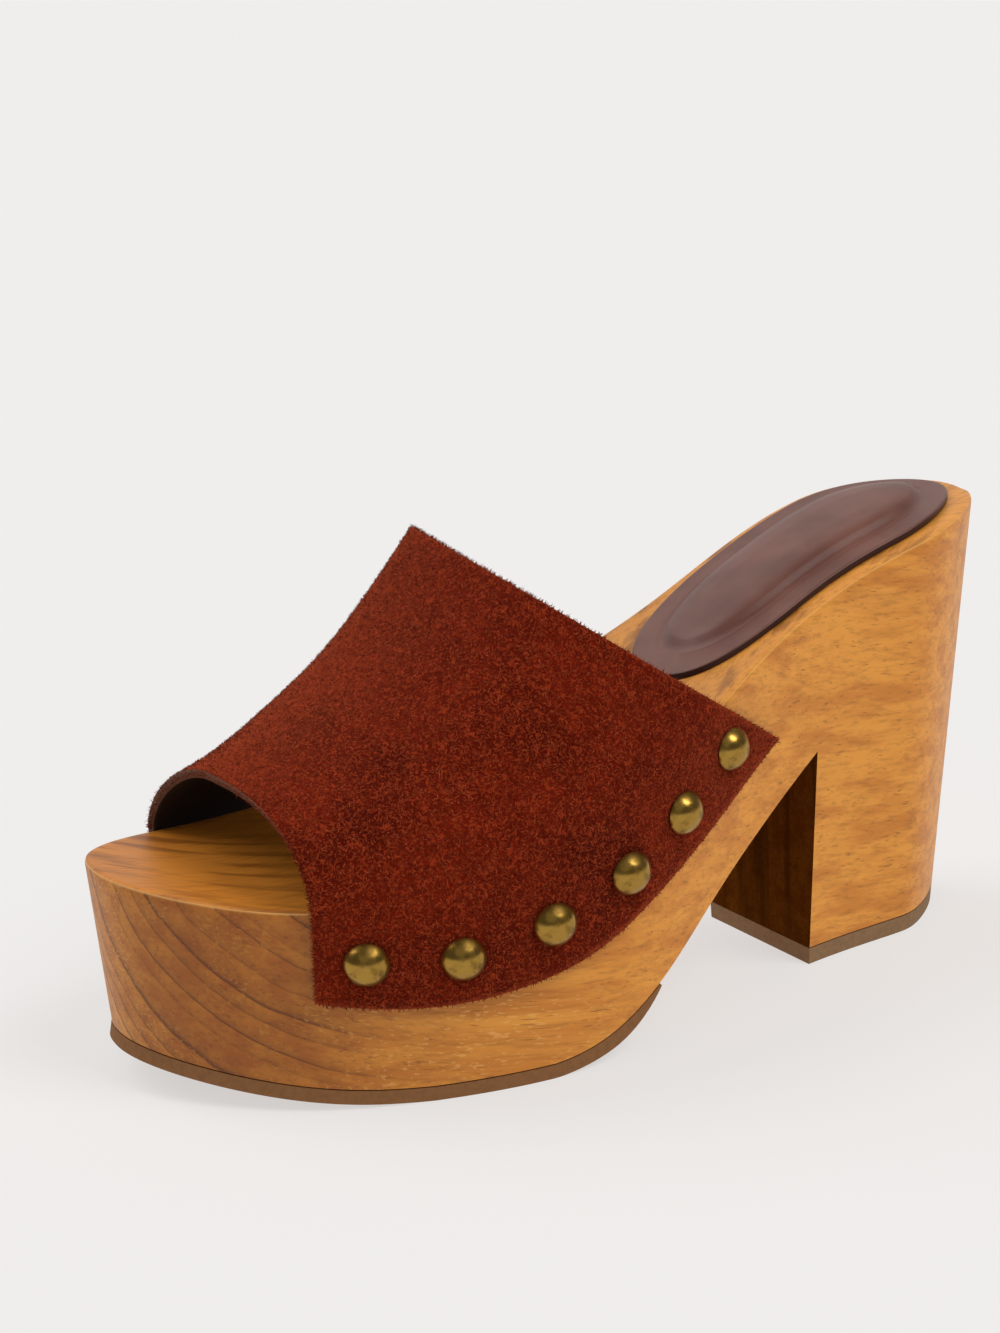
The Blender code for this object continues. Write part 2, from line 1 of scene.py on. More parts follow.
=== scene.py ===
"""The look of the platform clog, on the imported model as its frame: grained wood, napped suede with a dark
lining, domed brass nails, a padded leather seat and rubber soles, under soft studio light.

Frame: metres, +Z up, toe towards -Y, the outer (lateral) side towards +X. Along the shoe, `t` is the
distance from the back of the heel towards the toe.
"""

import math

import bmesh
import bpy
import numpy as np
from mathutils import Matrix, Vector, noise


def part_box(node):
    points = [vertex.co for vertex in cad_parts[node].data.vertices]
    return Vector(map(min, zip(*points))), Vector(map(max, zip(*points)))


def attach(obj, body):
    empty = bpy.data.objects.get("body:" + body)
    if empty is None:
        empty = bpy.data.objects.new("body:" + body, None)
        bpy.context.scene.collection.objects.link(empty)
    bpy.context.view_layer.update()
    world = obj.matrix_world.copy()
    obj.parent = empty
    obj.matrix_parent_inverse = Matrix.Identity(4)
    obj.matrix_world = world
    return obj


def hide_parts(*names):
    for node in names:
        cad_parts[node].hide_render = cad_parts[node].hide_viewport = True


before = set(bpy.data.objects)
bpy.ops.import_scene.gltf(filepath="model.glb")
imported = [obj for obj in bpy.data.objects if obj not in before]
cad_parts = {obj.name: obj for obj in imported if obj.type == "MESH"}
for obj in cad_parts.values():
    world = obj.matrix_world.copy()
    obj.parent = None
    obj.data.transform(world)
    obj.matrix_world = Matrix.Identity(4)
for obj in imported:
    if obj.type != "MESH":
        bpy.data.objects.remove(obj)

# Camera, fitted to the photograph
VIEW_AZIMUTH = 65.27
VIEW_ELEVATION = 15.67
VIEW_ROLL = -4.02
VIEW_DISTANCE = 0.6083
VIEW_TARGET = (-0.0363, 0.0, 0.0712)
VIEW_LENS = 65.9
VIEW_SENSOR_WIDTH = 36.0
VIEW_NEAREST = 0.01

# Floor, and the room that reflections see: dim on the camera's side, bright behind the shoe
# ROOM_FADE: cosines of the angle from its bright middle, where it starts and ends to brighten
FLOOR_REACH = 8.0
FLOOR_COLOUR = (0.27, 0.266, 0.262, 1.0)
FLOOR_GLOW = (0.593, 0.582, 0.572, 1.0)
BACKDROP_COLOUR = (0.868, 0.853, 0.838, 1.0)
WORLD_COLOUR = (1.0, 0.99, 0.975, 1.0)
WORLD_STRENGTH = 0.38
ROOM_NEAR = 0.14
ROOM_FAR = 0.72
ROOM_FAR_ELEVATION = 10
ROOM_FADE = (0.3, 0.95)

# Lights: azimuth from the toe's side round to the outer side, elevation above the floor, width in the sky
LIGHTS = [
    {"name": "key", "azimuth": 125, "elevation": 50, "strength": 1.35, "softness": 30},
    {"name": "top", "azimuth": 315, "elevation": 50, "strength": 1.20, "softness": 45},
    {"name": "front", "azimuth": 60, "elevation": 40, "strength": 0.12, "softness": 50},
]

# Colours, linear
WOOD_LIGHT = (0.78, 0.315, 0.040, 1.0)
WOOD_MID = (0.60, 0.205, 0.022, 1.0)
WOOD_TOP = (0.80, 0.330, 0.055, 1.0)
# Painted highlight along the rounded top edge
WOOD_EDGE_HIGHLIGHT = (0.90, 0.52, 0.18, 1.0)
WOOD_DARK = (0.20, 0.062, 0.006, 1.0)
WOOD_FLECK = (0.88, 0.46, 0.12, 1.0)
# End grain's darker tone together with painted shade on the walls that face the toe
WOOD_END_GRAIN_AND_SHADE = (0.55, 0.42, 0.20, 1.0)
WOOD_FORE = (0.94, 0.93, 0.92, 1.0)
# Painted shade on the top of the forefoot
WOOD_TOP_FORE_SHADE = (0.80, 0.68, 0.46, 1.0)
# Painted shade on the heel's front face, and the dark grain streaks within that painted shade
WOOD_BREAST_SHADE = (0.16, 0.13, 0.12, 1.0)
SHADED_BREAST_STREAK = (0.030, 0.010, 0.002, 1.0)
SUEDE_DARK = (0.070, 0.0038, 0.0007, 1.0)
SUEDE_MID = (0.160, 0.0100, 0.0018, 1.0)
# Light tone of the suede's marks, also used for a painted sheen at grazing angles
SUEDE_LIGHT_AND_SHEEN = (0.330, 0.040, 0.010, 1.0)
SUEDE_SHEEN = (0.8, 0.26, 0.13, 1.0)
NAP_DARK = (0.10, 0.0065, 0.0012, 1.0)
NAP_LIGHT = (0.42, 0.075, 0.022, 1.0)
LINING_COLOUR = (0.018, 0.010, 0.008, 1.0)
RAW_EDGE_COLOUR = (0.17, 0.080, 0.050, 1.0)
OUTSOLE_COLOUR = (0.245, 0.110, 0.042, 1.0)
LIFT_COLOUR = (0.26, 0.150, 0.075, 1.0)
PAD_LIGHT = (0.185, 0.071, 0.049, 1.0)
PAD_DARK = (0.130, 0.044, 0.030, 1.0)
PAD_EDGE = (0.040, 0.013, 0.009, 1.0)
BRASS_CLEAN = (0.38, 0.22, 0.044, 1.0)
BRASS_DARK = (0.19, 0.11, 0.022, 1.0)

# Wood grain: turns of the grain on the walls, the toe's top and the seat
WOOD_TURN = (math.radians(9), 0.0, math.radians(4))
TOE_TOP_TURN = (0.0, 0.0, math.radians(40))
SEAT_TURN = (0.0, 0.0, math.radians(-28))

# Growth rings
# WOOD_CORE: minus the place of their core, which is beyond the outer side
# RING_BAND: the share of each ring's darkness that is a soft band before its line
WOOD_CORE = (-0.062, 0.0, -0.048)
RING_SPACING = 0.0046
RING_WARP = 0.006
RING_FINE_WARP = 0.0010
RING_UNEVEN = 0.010
RING_UNEVEN_SCALE = 90.0
RING_BAND = 0.35
RINGS_ON_SIDES = 0.10
RINGS_AT_TOE = 0.85

# Suede surface: swells, and dimples round the nails
SWELL_DEPTH = 0.0005
SWELL_SCALE = 38.0
DIMPLE_RADIUS = 0.0085
DIMPLE_DEPTH = 0.0004

# Loose fibres: the nap over the whole face, in clumps, and the fringe along the cut edges
# least, more: shares of the length; lean, sway: radians from upright, and how many more at the most
# tone, vary: how light from 0 to 1, and how uneven
NAP = {"length": 0.0010, "least": 0.6, "more": 0.8, "lean": 0.7, "sway": 0.7, "tone": 0.30, "vary": 0.40}
FRINGE = {"length": 0.0009, "least": 0.5, "more": 1.0, "lean": 0.9, "sway": 0.8, "tone": 0.25, "vary": 0.30}
NAP_SEED = 7
NAP_FIBRES = 52000
NAP_CLUMP_SCALE = 240.0
FRINGE_SEED = 11
FRINGE_PER_EDGE = 8
FRINGE_SPREAD = 0.45
FRINGE_DEPTH = 0.8
FIBRE_WIDTH = 0.00015
FIBRE_TAPER = 0.8
FIBRE_BEND = 0.9

# Grain of the plain materials
RUBBER_GRAIN = {"roughness": 0.75, "grain": 0.35, "grain_scale": 700.0}
RAW_EDGE_GRAIN = {"roughness": 0.95, "grain": 0.7, "grain_scale": 1200.0}
PLAIN_GRAIN_DEPTH = 0.0004

# Last and platform
SOLE_LENGTH = 0.232
BALL_WIDTH = 0.085
HEEL_HEIGHT = 0.1047
PLATFORM_HEIGHT = 0.0476
SEAT_TILT = 0.0035
HEEL_ROUND = 0.0343
TOE_ROUND = 0.0482
TOE_POWER = 2.2
EDGE_ROUND = 0.0010

# How far each wall leans inward for each metre that it drops
TOE_DRAFT = 0.045
HEEL_DRAFT = 0.142
SIDE_DRAFT = 0.075

# Underside: the arch, the toe spring and the front face of the heel
ARCH_HEIGHT = 0.0495
TOE_SPRING = 0.0092
BREAST_DISTANCE = 0.0686
BREAST_LEAN = math.radians(-1.8)
BREAST_TURN = math.radians(-5.1)

# Rubber
OUTSOLE_THICKNESS = 0.0032
OUTSOLE_START = 0.1185
OUTSOLE_SKIVE = 0.016
OUTSOLE_THIN_END = 0.0006
LIFT_THICKNESS = 0.0044

# Upper: the toe edge and the topline are each a plane cut through the leather
# Each cut starts at a corner on the outer side, at a share of SOLE_LENGTH
SUEDE_WALL = 0.0022
INSTEP_HEIGHT = 0.0557
LASTING_DEPTH = 0.0295
TOE_EDGE_ALONG = 0.854
TOE_EDGE_TURN = math.radians(-8.0)
TOPLINE_ALONG = 0.341
TOPLINE_LEAN = math.radians(53.9)
TOPLINE_TURN = math.radians(5.7)

# Heel pad
PAD_BACK = 0.0070
PAD_FRONT = 0.0995
PAD_MARGIN = 0.0052
PAD_BACK_ROUND = 0.0300
PAD_FRONT_ROUND = 0.0340
PAD_THICKNESS = 0.0016
PAD_RISE = 0.0022
PAD_RIM = 0.0075
PAD_GROOVE = 0.0007
PAD_STEP_BEFORE = 0.0012
PAD_STEP_BEYOND = 0.0024

# Pad's section: its rounded edge, and the last rise of its middle beyond the step, in metres
PAD_EDGE_ROWS = [
    {"inset": 0.0, "below": 0.0005},
    {"inset": 0.00015, "below": 0.00015},
    {"inset": 0.0005, "below": 0.0},
]
PAD_FLAT_START = 0.001
PAD_MIDDLE_ROWS = [
    {"beyond": 0.003, "rise": 0.0004},
    {"beyond": 0.007, "rise": 0.0007},
]

# Nails
NAIL_HEAD_RADIUS = 0.0050
NAIL_HEAD_RISE = 0.0032
NAIL_RIM = 0.0006
SHANK_RADIUS = 0.0010

# Pieces that meet are this far apart
CLEARANCE = 0.0003

# Bevel that eases the wood's edges
EASED_EDGE = 0.0006
EASED_SEGMENTS = 2
EASED_ANGLE = math.radians(40)

# Edges sharper than these aren't smoothed
SHARP_ANGLE = math.radians(35)
SHARP_ANGLE_PAD = math.radians(50)
SHARP_ANGLE_NAIL = math.radians(45)
WELD_DISTANCE = 1e-6

# Plan and height of the platform's top edge, from heel to toe
# along: share of SOLE_LENGTH; half_width and centre: shares of BALL_WIDTH, + is lateral
# pitch: share of the heel's height above the forefoot
# tilt: the inner edge's extra height, share of SEAT_TILT
FOOTBED = [
    {"along": 0.00, "half_width": 0.215, "centre": -0.026, "pitch": 1.000, "tilt": 1.00},
    {"along": 0.10, "half_width": 0.311, "centre": -0.020, "pitch": 0.960, "tilt": 0.60},
    {"along": 0.22, "half_width": 0.326, "centre": 0.008, "pitch": 0.846, "tilt": 0.23},
    {"along": 0.35, "half_width": 0.337, "centre": 0.073, "pitch": 0.637, "tilt": 0.05},
    {"along": 0.50, "half_width": 0.441, "centre": 0.113, "pitch": 0.347, "tilt": 0.05},
    {"along": 0.67, "half_width": 0.500, "centre": 0.076, "pitch": 0.104, "tilt": -0.11},
    {"along": 0.85, "half_width": 0.460, "centre": -0.030, "pitch": 0.000, "tilt": -0.28},
    {"along": 1.00, "half_width": 0.372, "centre": -0.121, "pitch": 0.074, "tilt": -0.15},
]

# Height of the wood's underside above its lowest line
# along: share of SOLE_LENGTH; arch: share of ARCH_HEIGHT; spring: share of TOE_SPRING
UNDERSIDE = [
    {"along": 0.22, "arch": 1.240, "spring": 0.00},
    {"along": 0.29, "arch": 1.000, "spring": 0.00},
    {"along": 0.36, "arch": 0.762, "spring": 0.00},
    {"along": 0.43, "arch": 0.527, "spring": 0.00},
    {"along": 0.50, "arch": 0.267, "spring": 0.00},
    {"along": 0.57, "arch": 0.072, "spring": 0.00},
    {"along": 0.64, "arch": -0.003, "spring": 0.00},
    {"along": 0.69, "arch": -0.007, "spring": 0.00},
    {"along": 0.74, "arch": 0.000, "spring": -0.01},
    {"along": 0.86, "arch": 0.000, "spring": 0.25},
    {"along": 1.00, "arch": 0.000, "spring": 1.00},
]

# Cross-sections of the upper above the platform's edge
# rise: share of INSTEP_HEIGHT; crown: sideways place of the crown from mid-section, share of BALL_WIDTH
# outer, inner: roundness of the two sides, where 2 is an ellipse and less is flatter
UPPER_SECTIONS = [
    {"along": 0.34, "rise": 2.530, "crown": -0.543, "outer": 1.49, "inner": 3.77},
    {"along": 0.45, "rise": 1.815, "crown": -0.440, "outer": 1.67, "inner": 3.34},
    {"along": 0.56, "rise": 1.265, "crown": -0.336, "outer": 1.85, "inner": 2.90},
    {"along": 0.62, "rise": 1.020, "crown": -0.279, "outer": 1.95, "inner": 2.66},
    {"along": 0.71, "rise": 0.738, "crown": -0.194, "outer": 2.10, "inner": 2.30},
    {"along": 0.78, "rise": 0.578, "crown": -0.131, "outer": 2.21, "inner": 2.03},
    {"along": 0.86, "rise": 0.431, "crown": -0.052, "outer": 2.35, "inner": 1.70},
    {"along": 0.92, "rise": 0.357, "crown": 0.000, "outer": 2.45, "inner": 1.50},
]

# How far the upper reaches down the wood's wall, share of LASTING_DEPTH
LASTING = [
    {"along": 0.34, "depth": 0.745},
    {"along": 0.42, "depth": 0.810},
    {"along": 0.50, "depth": 0.900},
    {"along": 0.59, "depth": 1.000},
    {"along": 0.67, "depth": 0.970},
    {"along": 0.76, "depth": 0.855},
    {"along": 0.86, "depth": 0.690},
    {"along": 0.91, "depth": 0.640},
]

# Nails, from toe to heel: along is a share of SOLE_LENGTH, depth below the edge a share of LASTING_DEPTH
NAILS = [
    {"along": 0.811, "depth": 0.405},
    {"along": 0.725, "depth": 0.545},
    {"along": 0.636, "depth": 0.580},
    {"along": 0.553, "depth": 0.553},
    {"along": 0.485, "depth": 0.447},
    {"along": 0.417, "depth": 0.353},
]

# Mesh density
SAMPLES = 400
HEEL_COLUMNS = 36
FORE_COLUMNS = 110
UPPER_ROWS = 18
HEEL_ROWS = 14
CROSS_STEPS = 26
WALL_STEPS = 14
ARCH_STEPS = 110
LENGTH_STEPS = 84
PAD_POINTS = 60
PAD_CROSS_STEPS = 14
PAD_STEP_STEPS = 12
NAIL_SEGMENTS = 40
NAIL_DOME_STEPS = 12

# Where the upper's cuts are looked for, shares of SOLE_LENGTH, and how finely
CUT_SEARCH_FROM = 0.20
CUT_SEARCH_TO = 0.98
HALVINGS = 24

# Where the outsole's first column is looked for, shares of the top edge's samples, and in how many places
START_SEARCH_FROM = 0.3
START_SEARCH_TO = 0.9
START_SEARCH_PLACES = 61

# Rounds in which a height on the wall settles on the underside
SETTLING_ROUNDS = 20

OUTER = 1
INNER = -1
SIDES = (OUTER, INNER)


def spline(rows, column):
    """Natural cubic spline through one column of a table, as a function of the distance `t`."""
    knots = np.array([row["along"] for row in rows]) * SOLE_LENGTH
    values = np.array([row[column] for row in rows], float)
    gaps = np.diff(knots)
    slopes = np.diff(values) / gaps
    count = len(knots)
    system = np.eye(count)
    right = np.zeros(count)
    for i in range(1, count - 1):
        system[i, i - 1 : i + 2] = gaps[i - 1], 2 * (gaps[i - 1] + gaps[i]), gaps[i]
        right[i] = 6 * (slopes[i] - slopes[i - 1])
    bends = np.linalg.solve(system, right)

    def at(t):
        t = np.clip(np.asarray(t, float), knots[0], knots[-1])
        i = np.clip(np.searchsorted(knots, t) - 1, 0, count - 2)
        left = t - knots[i]
        rest = knots[i + 1] - t
        curved = (bends[i] * rest**3 + bends[i + 1] * left**3) / (6 * gaps[i])
        from_left = values[i] / gaps[i] - bends[i] * gaps[i] / 6
        from_right = values[i + 1] / gaps[i] - bends[i + 1] * gaps[i] / 6
        return curved + from_left * rest + from_right * left

    return at


half_width_share = spline(FOOTBED, "half_width")
centre_share = spline(FOOTBED, "centre")
pitch_share = spline(FOOTBED, "pitch")
tilt_share = spline(FOOTBED, "tilt")
arch_share = spline(UNDERSIDE, "arch")
spring_share = spline(UNDERSIDE, "spring")


def end_rounding(t, start, end, start_round, end_round, end_power=2.0):
    """From 0 at each end of the outline to 1 between its two round ends."""
    back = np.clip(1 - (t - start) / start_round, 0, 1)
    front = np.clip(1 - (end - t) / end_round, 0, 1)
    return np.sqrt(1 - back**2) * (1 - front**end_power) ** (1 / end_power)


def sole_rounding(t):
    return end_rounding(t, 0, SOLE_LENGTH, HEEL_ROUND, TOE_ROUND, TOE_POWER)


def underside(t):
    """Height of the wood's underside. The ball of the foot has a flat stretch."""
    rise = ARCH_HEIGHT * arch_share(t) + TOE_SPRING * spring_share(t)
    return OUTSOLE_THICKNESS + CLEARANCE + np.maximum(rise, 0)


def along_of(s):
    """Distance along the shoe, with the points drawn together at the heel and the toe."""
    return SOLE_LENGTH * (1 - np.cos(math.pi * s)) / 2


def edge_plan(t, side):
    """Sideways place of the platform's top edge."""
    return BALL_WIDTH * (centre_share(t) + side * half_width_share(t) * sole_rounding(t))


def edge_height(t, side):
    """Height of the platform's top edge. Both sides meet at the same height at the two ends."""
    height = PLATFORM_HEIGHT + (HEEL_HEIGHT - PLATFORM_HEIGHT) * pitch_share(t)
    if side == OUTER:
        return height
    return height + SEAT_TILT * tilt_share(t) * sole_rounding(t)


def sampled_edge(side):
    """The top edge from heel to toe, with its outward direction in plan."""
    s = np.linspace(0, 1, SAMPLES)
    t = along_of(s)
    x = edge_plan(t, side)
    along, across = np.gradient(t), np.gradient(x)
    length = np.hypot(along, across)
    normal_t = -side * across / length
    normal_x = side * along / length
    normal_t[[0, -1]] = -1, 1
    normal_x[[0, -1]] = 0
    return {"s": s, "t": t, "x": x, "z": edge_height(t, side), "normal_t": normal_t, "normal_x": normal_x}


EDGES = {side: sampled_edge(side) for side in SIDES}


def wall_ring(side, z, outward=0.0):
    """The whole wall of one side at height z, as arrays of t and x, moved outward by a distance."""
    edge = EDGES[side]
    drop = edge["z"] - z
    end_draft = np.where(edge["normal_t"] > 0, TOE_DRAFT, HEEL_DRAFT)
    t = edge["t"] + edge["normal_t"] * (outward - end_draft * drop)
    x = edge["x"] + edge["normal_x"] * (outward - SIDE_DRAFT * drop)
    return t, x


def wall_point(side, s, z, outward=0.0):
    """(t, x) on the wall, in the column that starts at s on the top edge."""
    t, x = wall_ring(side, z, outward)
    return float(np.interp(s, EDGES[side]["s"], t)), float(np.interp(s, EDGES[side]["s"], x))


def wall_x(side, t, z, outward=0.0):
    """Sideways place of the wall at a distance t and a height z."""
    ring_t, ring_x = wall_ring(side, z, outward)
    return float(np.interp(t, ring_t, ring_x))


def top_of_wall(side, s):
    return float(np.interp(s, EDGES[side]["s"], EDGES[side]["z"]))


def breast_t(x, z):
    """The front face of the heel: a plane that leans and is turned a little."""
    return BREAST_DISTANCE + math.tan(BREAST_LEAN) * z + math.tan(BREAST_TURN) * x


def breast_corner(side, z):
    """(s, t, x) where the wall meets the heel's front face at height z."""
    t, x = wall_ring(side, z)
    beyond = t - breast_t(x, z)
    s = float(np.interp(0.0, beyond, EDGES[side]["s"]))
    return s, *wall_point(side, s, z)


def notch(side):
    """(s, z) of the corner where the arch meets the heel's front face."""
    z = ARCH_HEIGHT
    for _ in range(SETTLING_ROUNDS):
        s, t, _x = breast_corner(side, z)
        z = float(underside(t))
    return s, z


def lowest_of_column(side, s):
    """Height at which a column of the forefoot's wall meets the underside."""
    z = OUTSOLE_THICKNESS
    for _ in range(SETTLING_ROUNDS):
        t, _x = wall_point(side, s, z)
        z = float(underside(t))
    return z


def place(t, x, z):
    return Vector((x, SOLE_LENGTH / 2 - t, z))


def on_wall(side, s, z, outward=0.0):
    return place(*wall_point(side, s, z, outward), z)


def evenly(start, end, steps):
    """Values from start to end in equal steps, with both ends."""
    return [start + (end - start) * k / steps for k in range(steps + 1)]


def footbed_height(t, x):
    """Height of the platform's top at a distance t and a sideways place x."""
    inner, outer = edge_plan(t, INNER), edge_plan(t, OUTER)
    share = np.clip((x - inner) / np.maximum(outer - inner, 1e-6), 0, 1)
    return edge_height(t, INNER) * (1 - share) + edge_height(t, OUTER) * share


# Mesh helpers


def add_grid(bm, rows):
    """Faces between rows of points. Points that coincide are welded later."""
    verts = [[bm.verts.new(point) for point in row] for row in rows]
    for upper, lower in zip(verts, verts[1:]):
        for a, b, c, d in zip(upper, upper[1:], lower[1:], lower):
            bm.faces.new((a, b, c, d))


def ladder(outer, inner, steps=CROSS_STEPS):
    """Rows of points across the shoe, between paired points of its two sides."""
    return [[a.lerp(b, k / steps) for k in range(steps + 1)] for a, b in zip(outer, inner)]


def linked(name, data):
    """A new object in the scene."""
    made = bpy.data.objects.new(name, data)
    bpy.context.scene.collection.objects.link(made)
    return made


def to_object(bm, name, material, sharp_angle=SHARP_ANGLE):
    """Weld the patches into one closed mesh and put it in the scene."""
    bmesh.ops.remove_doubles(bm, verts=bm.verts, dist=WELD_DISTANCE)
    bmesh.ops.dissolve_degenerate(bm, edges=bm.edges, dist=WELD_DISTANCE)
    bmesh.ops.recalc_face_normals(bm, faces=bm.faces)
    if bm.calc_volume(signed=True) < 0:
        bmesh.ops.reverse_faces(bm, faces=bm.faces)
    mesh = bpy.data.meshes.new(name)
    bm.to_mesh(mesh)
    bm.free()
    mesh.shade_smooth()
    mesh.set_sharp_from_angle(angle=sharp_angle)
    mesh.materials.append(material)
    return linked(name, mesh)


# Wooden platform and heel


def top_edge_points(side, s):
    """Points of the rounded top edge, from the footbed out to the wall."""
    z = top_of_wall(side, s)
    points = []
    for angle in (math.pi / 2, math.pi / 4, 0.0):
        inset = EDGE_ROUND * (1 - math.cos(angle))
        height = z - EDGE_ROUND * (1 - math.sin(angle))
        points.append(on_wall(side, s, height, -inset))
    return points


def wall_column(side, s, high, low, rows):
    return [on_wall(side, s, z) for z in evenly(high, low, rows)]


def upper_column(side, s, low):
    """Points down the wall, from below its rounded edge."""
    return wall_column(side, s, top_of_wall(side, s) - EDGE_ROUND, low, UPPER_ROWS)


def breast_column(side, high):
    """Points down the corner of the heel's front face."""
    return [place(*breast_corner(side, z)[1:], z) for z in evenly(high, LIFT_THICKNESS, HEEL_ROWS)]


def build_wood():
    bm = bmesh.new()
    corners = {side: notch(side) for side in SIDES}
    back_height = (corners[OUTER][1] + corners[INNER][1]) / 2
    tops, unders, seats, breasts = {}, {}, {}, {}
    for side in SIDES:
        notch_s, notch_z = corners[side]
        heel_s = evenly(0.0, notch_s, HEEL_COLUMNS)
        fore_s = evenly(notch_s, 1, FORE_COLUMNS)
        heel_upper, heel_lower = [], []
        for s in heel_s:
            level = back_height + (notch_z - back_height) * s / notch_s
            heel_upper.append(upper_column(side, s, level))
            heel_lower.append(wall_column(side, s, level, LIFT_THICKNESS, HEEL_ROWS))
        breasts[side] = breast_column(side, notch_z)
        heel_lower[-1] = breasts[side]
        fore = [upper_column(side, s, lowest_of_column(side, s)) for s in fore_s]
        add_grid(bm, heel_upper)
        add_grid(bm, heel_lower)
        add_grid(bm, fore)
        edge = [top_edge_points(side, s) for s in heel_s + fore_s[1:]]
        add_grid(bm, edge)
        tops[side] = [points[0] for points in edge]
        unders[side] = [column[-1] for column in fore]
        seats[side] = [column[-1] for column in heel_lower]
    for ends in (tops, unders, seats, breasts):
        add_grid(bm, ladder(ends[OUTER], ends[INNER]))
    wood = to_object(bm, "wood", wood_material())
    bevel = wood.modifiers.new("eased edges", "BEVEL")
    bevel.width = EASED_EDGE
    bevel.segments = EASED_SEGMENTS
    bevel.limit_method = "ANGLE"
    bevel.angle_limit = EASED_ANGLE
    return wood


# Rubber outsole and heel lift


def outsole_thickness(t):
    """Full thickness, skived to a thin edge where the arch starts."""
    share = np.clip((t - OUTSOLE_START) / OUTSOLE_SKIVE, 0, 1)
    return OUTSOLE_THIN_END + (OUTSOLE_THICKNESS - OUTSOLE_THIN_END) * share * (2 - share)


def below_wood(t, depth):
    """(t, z) at a depth square to the wood's underside."""
    step = 1e-4
    slope = float(underside(t + step) - underside(t - step)) / (2 * step)
    length = math.hypot(1, slope)
    return t + depth * slope / length, float(underside(t)) - depth / length


def outsole_start_column(side):
    """The column whose foot on the underside is where the outsole starts."""
    columns = np.linspace(START_SEARCH_FROM, START_SEARCH_TO, START_SEARCH_PLACES)
    feet = [wall_point(side, s, lowest_of_column(side, s))[0] for s in columns]
    return float(np.interp(OUTSOLE_START, feet, columns))


def build_outsole(rubber):
    bm = bmesh.new()
    rims = {"top": {}, "bottom": {}}
    for side in SIDES:
        start_s = outsole_start_column(side)
        top, bottom = [], []
        for s in evenly(start_s, 1, FORE_COLUMNS):
            t, x = wall_point(side, s, lowest_of_column(side, s))
            top_t, top_z = below_wood(t, CLEARANCE)
            low_t, low_z = below_wood(t, CLEARANCE + float(outsole_thickness(t)))
            top.append(place(top_t, x, top_z))
            bottom.append(place(low_t, x, low_z))
        rims["top"][side], rims["bottom"][side] = top, bottom
        add_grid(bm, [[a, b] for a, b in zip(top, bottom)])
    for rim in rims.values():
        add_grid(bm, ladder(rim[OUTER], rim[INNER]))
    start = [[rims[level][side][0] for side in SIDES] for level in ("top", "bottom")]
    add_grid(bm, [ladder([row[0]], [row[1]])[0] for row in start])
    return to_object(bm, "outsole", rubber)


def build_lift(rubber):
    bm = bmesh.new()
    rims = []
    for z in (LIFT_THICKNESS - CLEARANCE, 0.0):
        rim = {}
        for side in SIDES:
            corner_s, corner_t, corner_x = breast_corner(side, z)
            rim[side] = [on_wall(side, s, z) for s in evenly(0.0, corner_s, HEEL_COLUMNS)[:-1]]
            rim[side].append(place(corner_t, corner_x, z))
        rims.append(rim)
        add_grid(bm, ladder(rim[OUTER], rim[INNER]))
    for side in SIDES:
        add_grid(bm, [rim[side] for rim in rims])
    add_grid(bm, [ladder([rim[OUTER][-1]], [rim[INNER][-1]])[0] for rim in rims])
    return to_object(bm, "lift", rubber)


# Suede upper

rise_share = spline(UPPER_SECTIONS, "rise")
crown_share = spline(UPPER_SECTIONS, "crown")
outer_power = spline(UPPER_SECTIONS, "outer")
inner_power = spline(UPPER_SECTIONS, "inner")
lasting_share = spline(LASTING, "depth")


def upper_section(t, angle):
    """Point of the upper's outer face above the platform: angle 0 is the outer edge, pi the inner one."""
    side = OUTER if math.cos(angle) >= 0 else INNER
    power = float(outer_power(t) if side == OUTER else inner_power(t))
    reach = CLEARANCE + SUEDE_WALL
    base_z = {each: float(edge_height(t, each)) for each in SIDES}
    base_x = {each: wall_x(each, t, base_z[each], reach) for each in SIDES}
    crown_x = (base_x[OUTER] + base_x[INNER]) / 2 + BALL_WIDTH * float(crown_share(t))
    crown_z = (base_z[OUTER] + base_z[INNER]) / 2 + INSTEP_HEIGHT * float(rise_share(t))
    sideways = abs(math.cos(angle)) ** (2 / power)
    upwards = max(math.sin(angle), 0.0) ** (2 / power)
    x = crown_x + (base_x[side] - crown_x) * sideways
    z = base_z[side] + (crown_z - base_z[side]) * upwards
    return place(t, x, z)


def upper_wall_point(side, t, share):
    """The same down the wood's wall: share 0 is the platform's edge, 1 the upper's lower edge."""
    z = float(edge_height(t, side)) - share * LASTING_DEPTH * float(lasting_share(t))
    return place(t, wall_x(side, t, z, CLEARANCE + SUEDE_WALL), z)


def beyond_toe_edge(point, pivot):
    """How far a point lies towards the toe from the plane of the toe edge."""
    return (pivot.y - point.y) - math.tan(TOE_EDGE_TURN) * (point.x - pivot.x)


def beyond_topline(point, pivot):
    """How far a point lies towards the toe from the plane of the topline."""
    lean = math.tan(TOPLINE_LEAN) * (point.z - pivot.z)
    turn = math.tan(TOPLINE_TURN) * (point.x - pivot.x)
    return (pivot.y - point.y) - lean - turn


def cut_distance(line, beyond, pivot):
    """The distance t at which a lengthwise line of the upper crosses a plane, by halving."""
    low, high = CUT_SEARCH_FROM * SOLE_LENGTH, CUT_SEARCH_TO * SOLE_LENGTH
    for _ in range(HALVINGS):
        middle = (low + high) / 2
        if beyond(line(middle), pivot) < 0:
            low = middle
        else:
            high = middle
    return (low + high) / 2


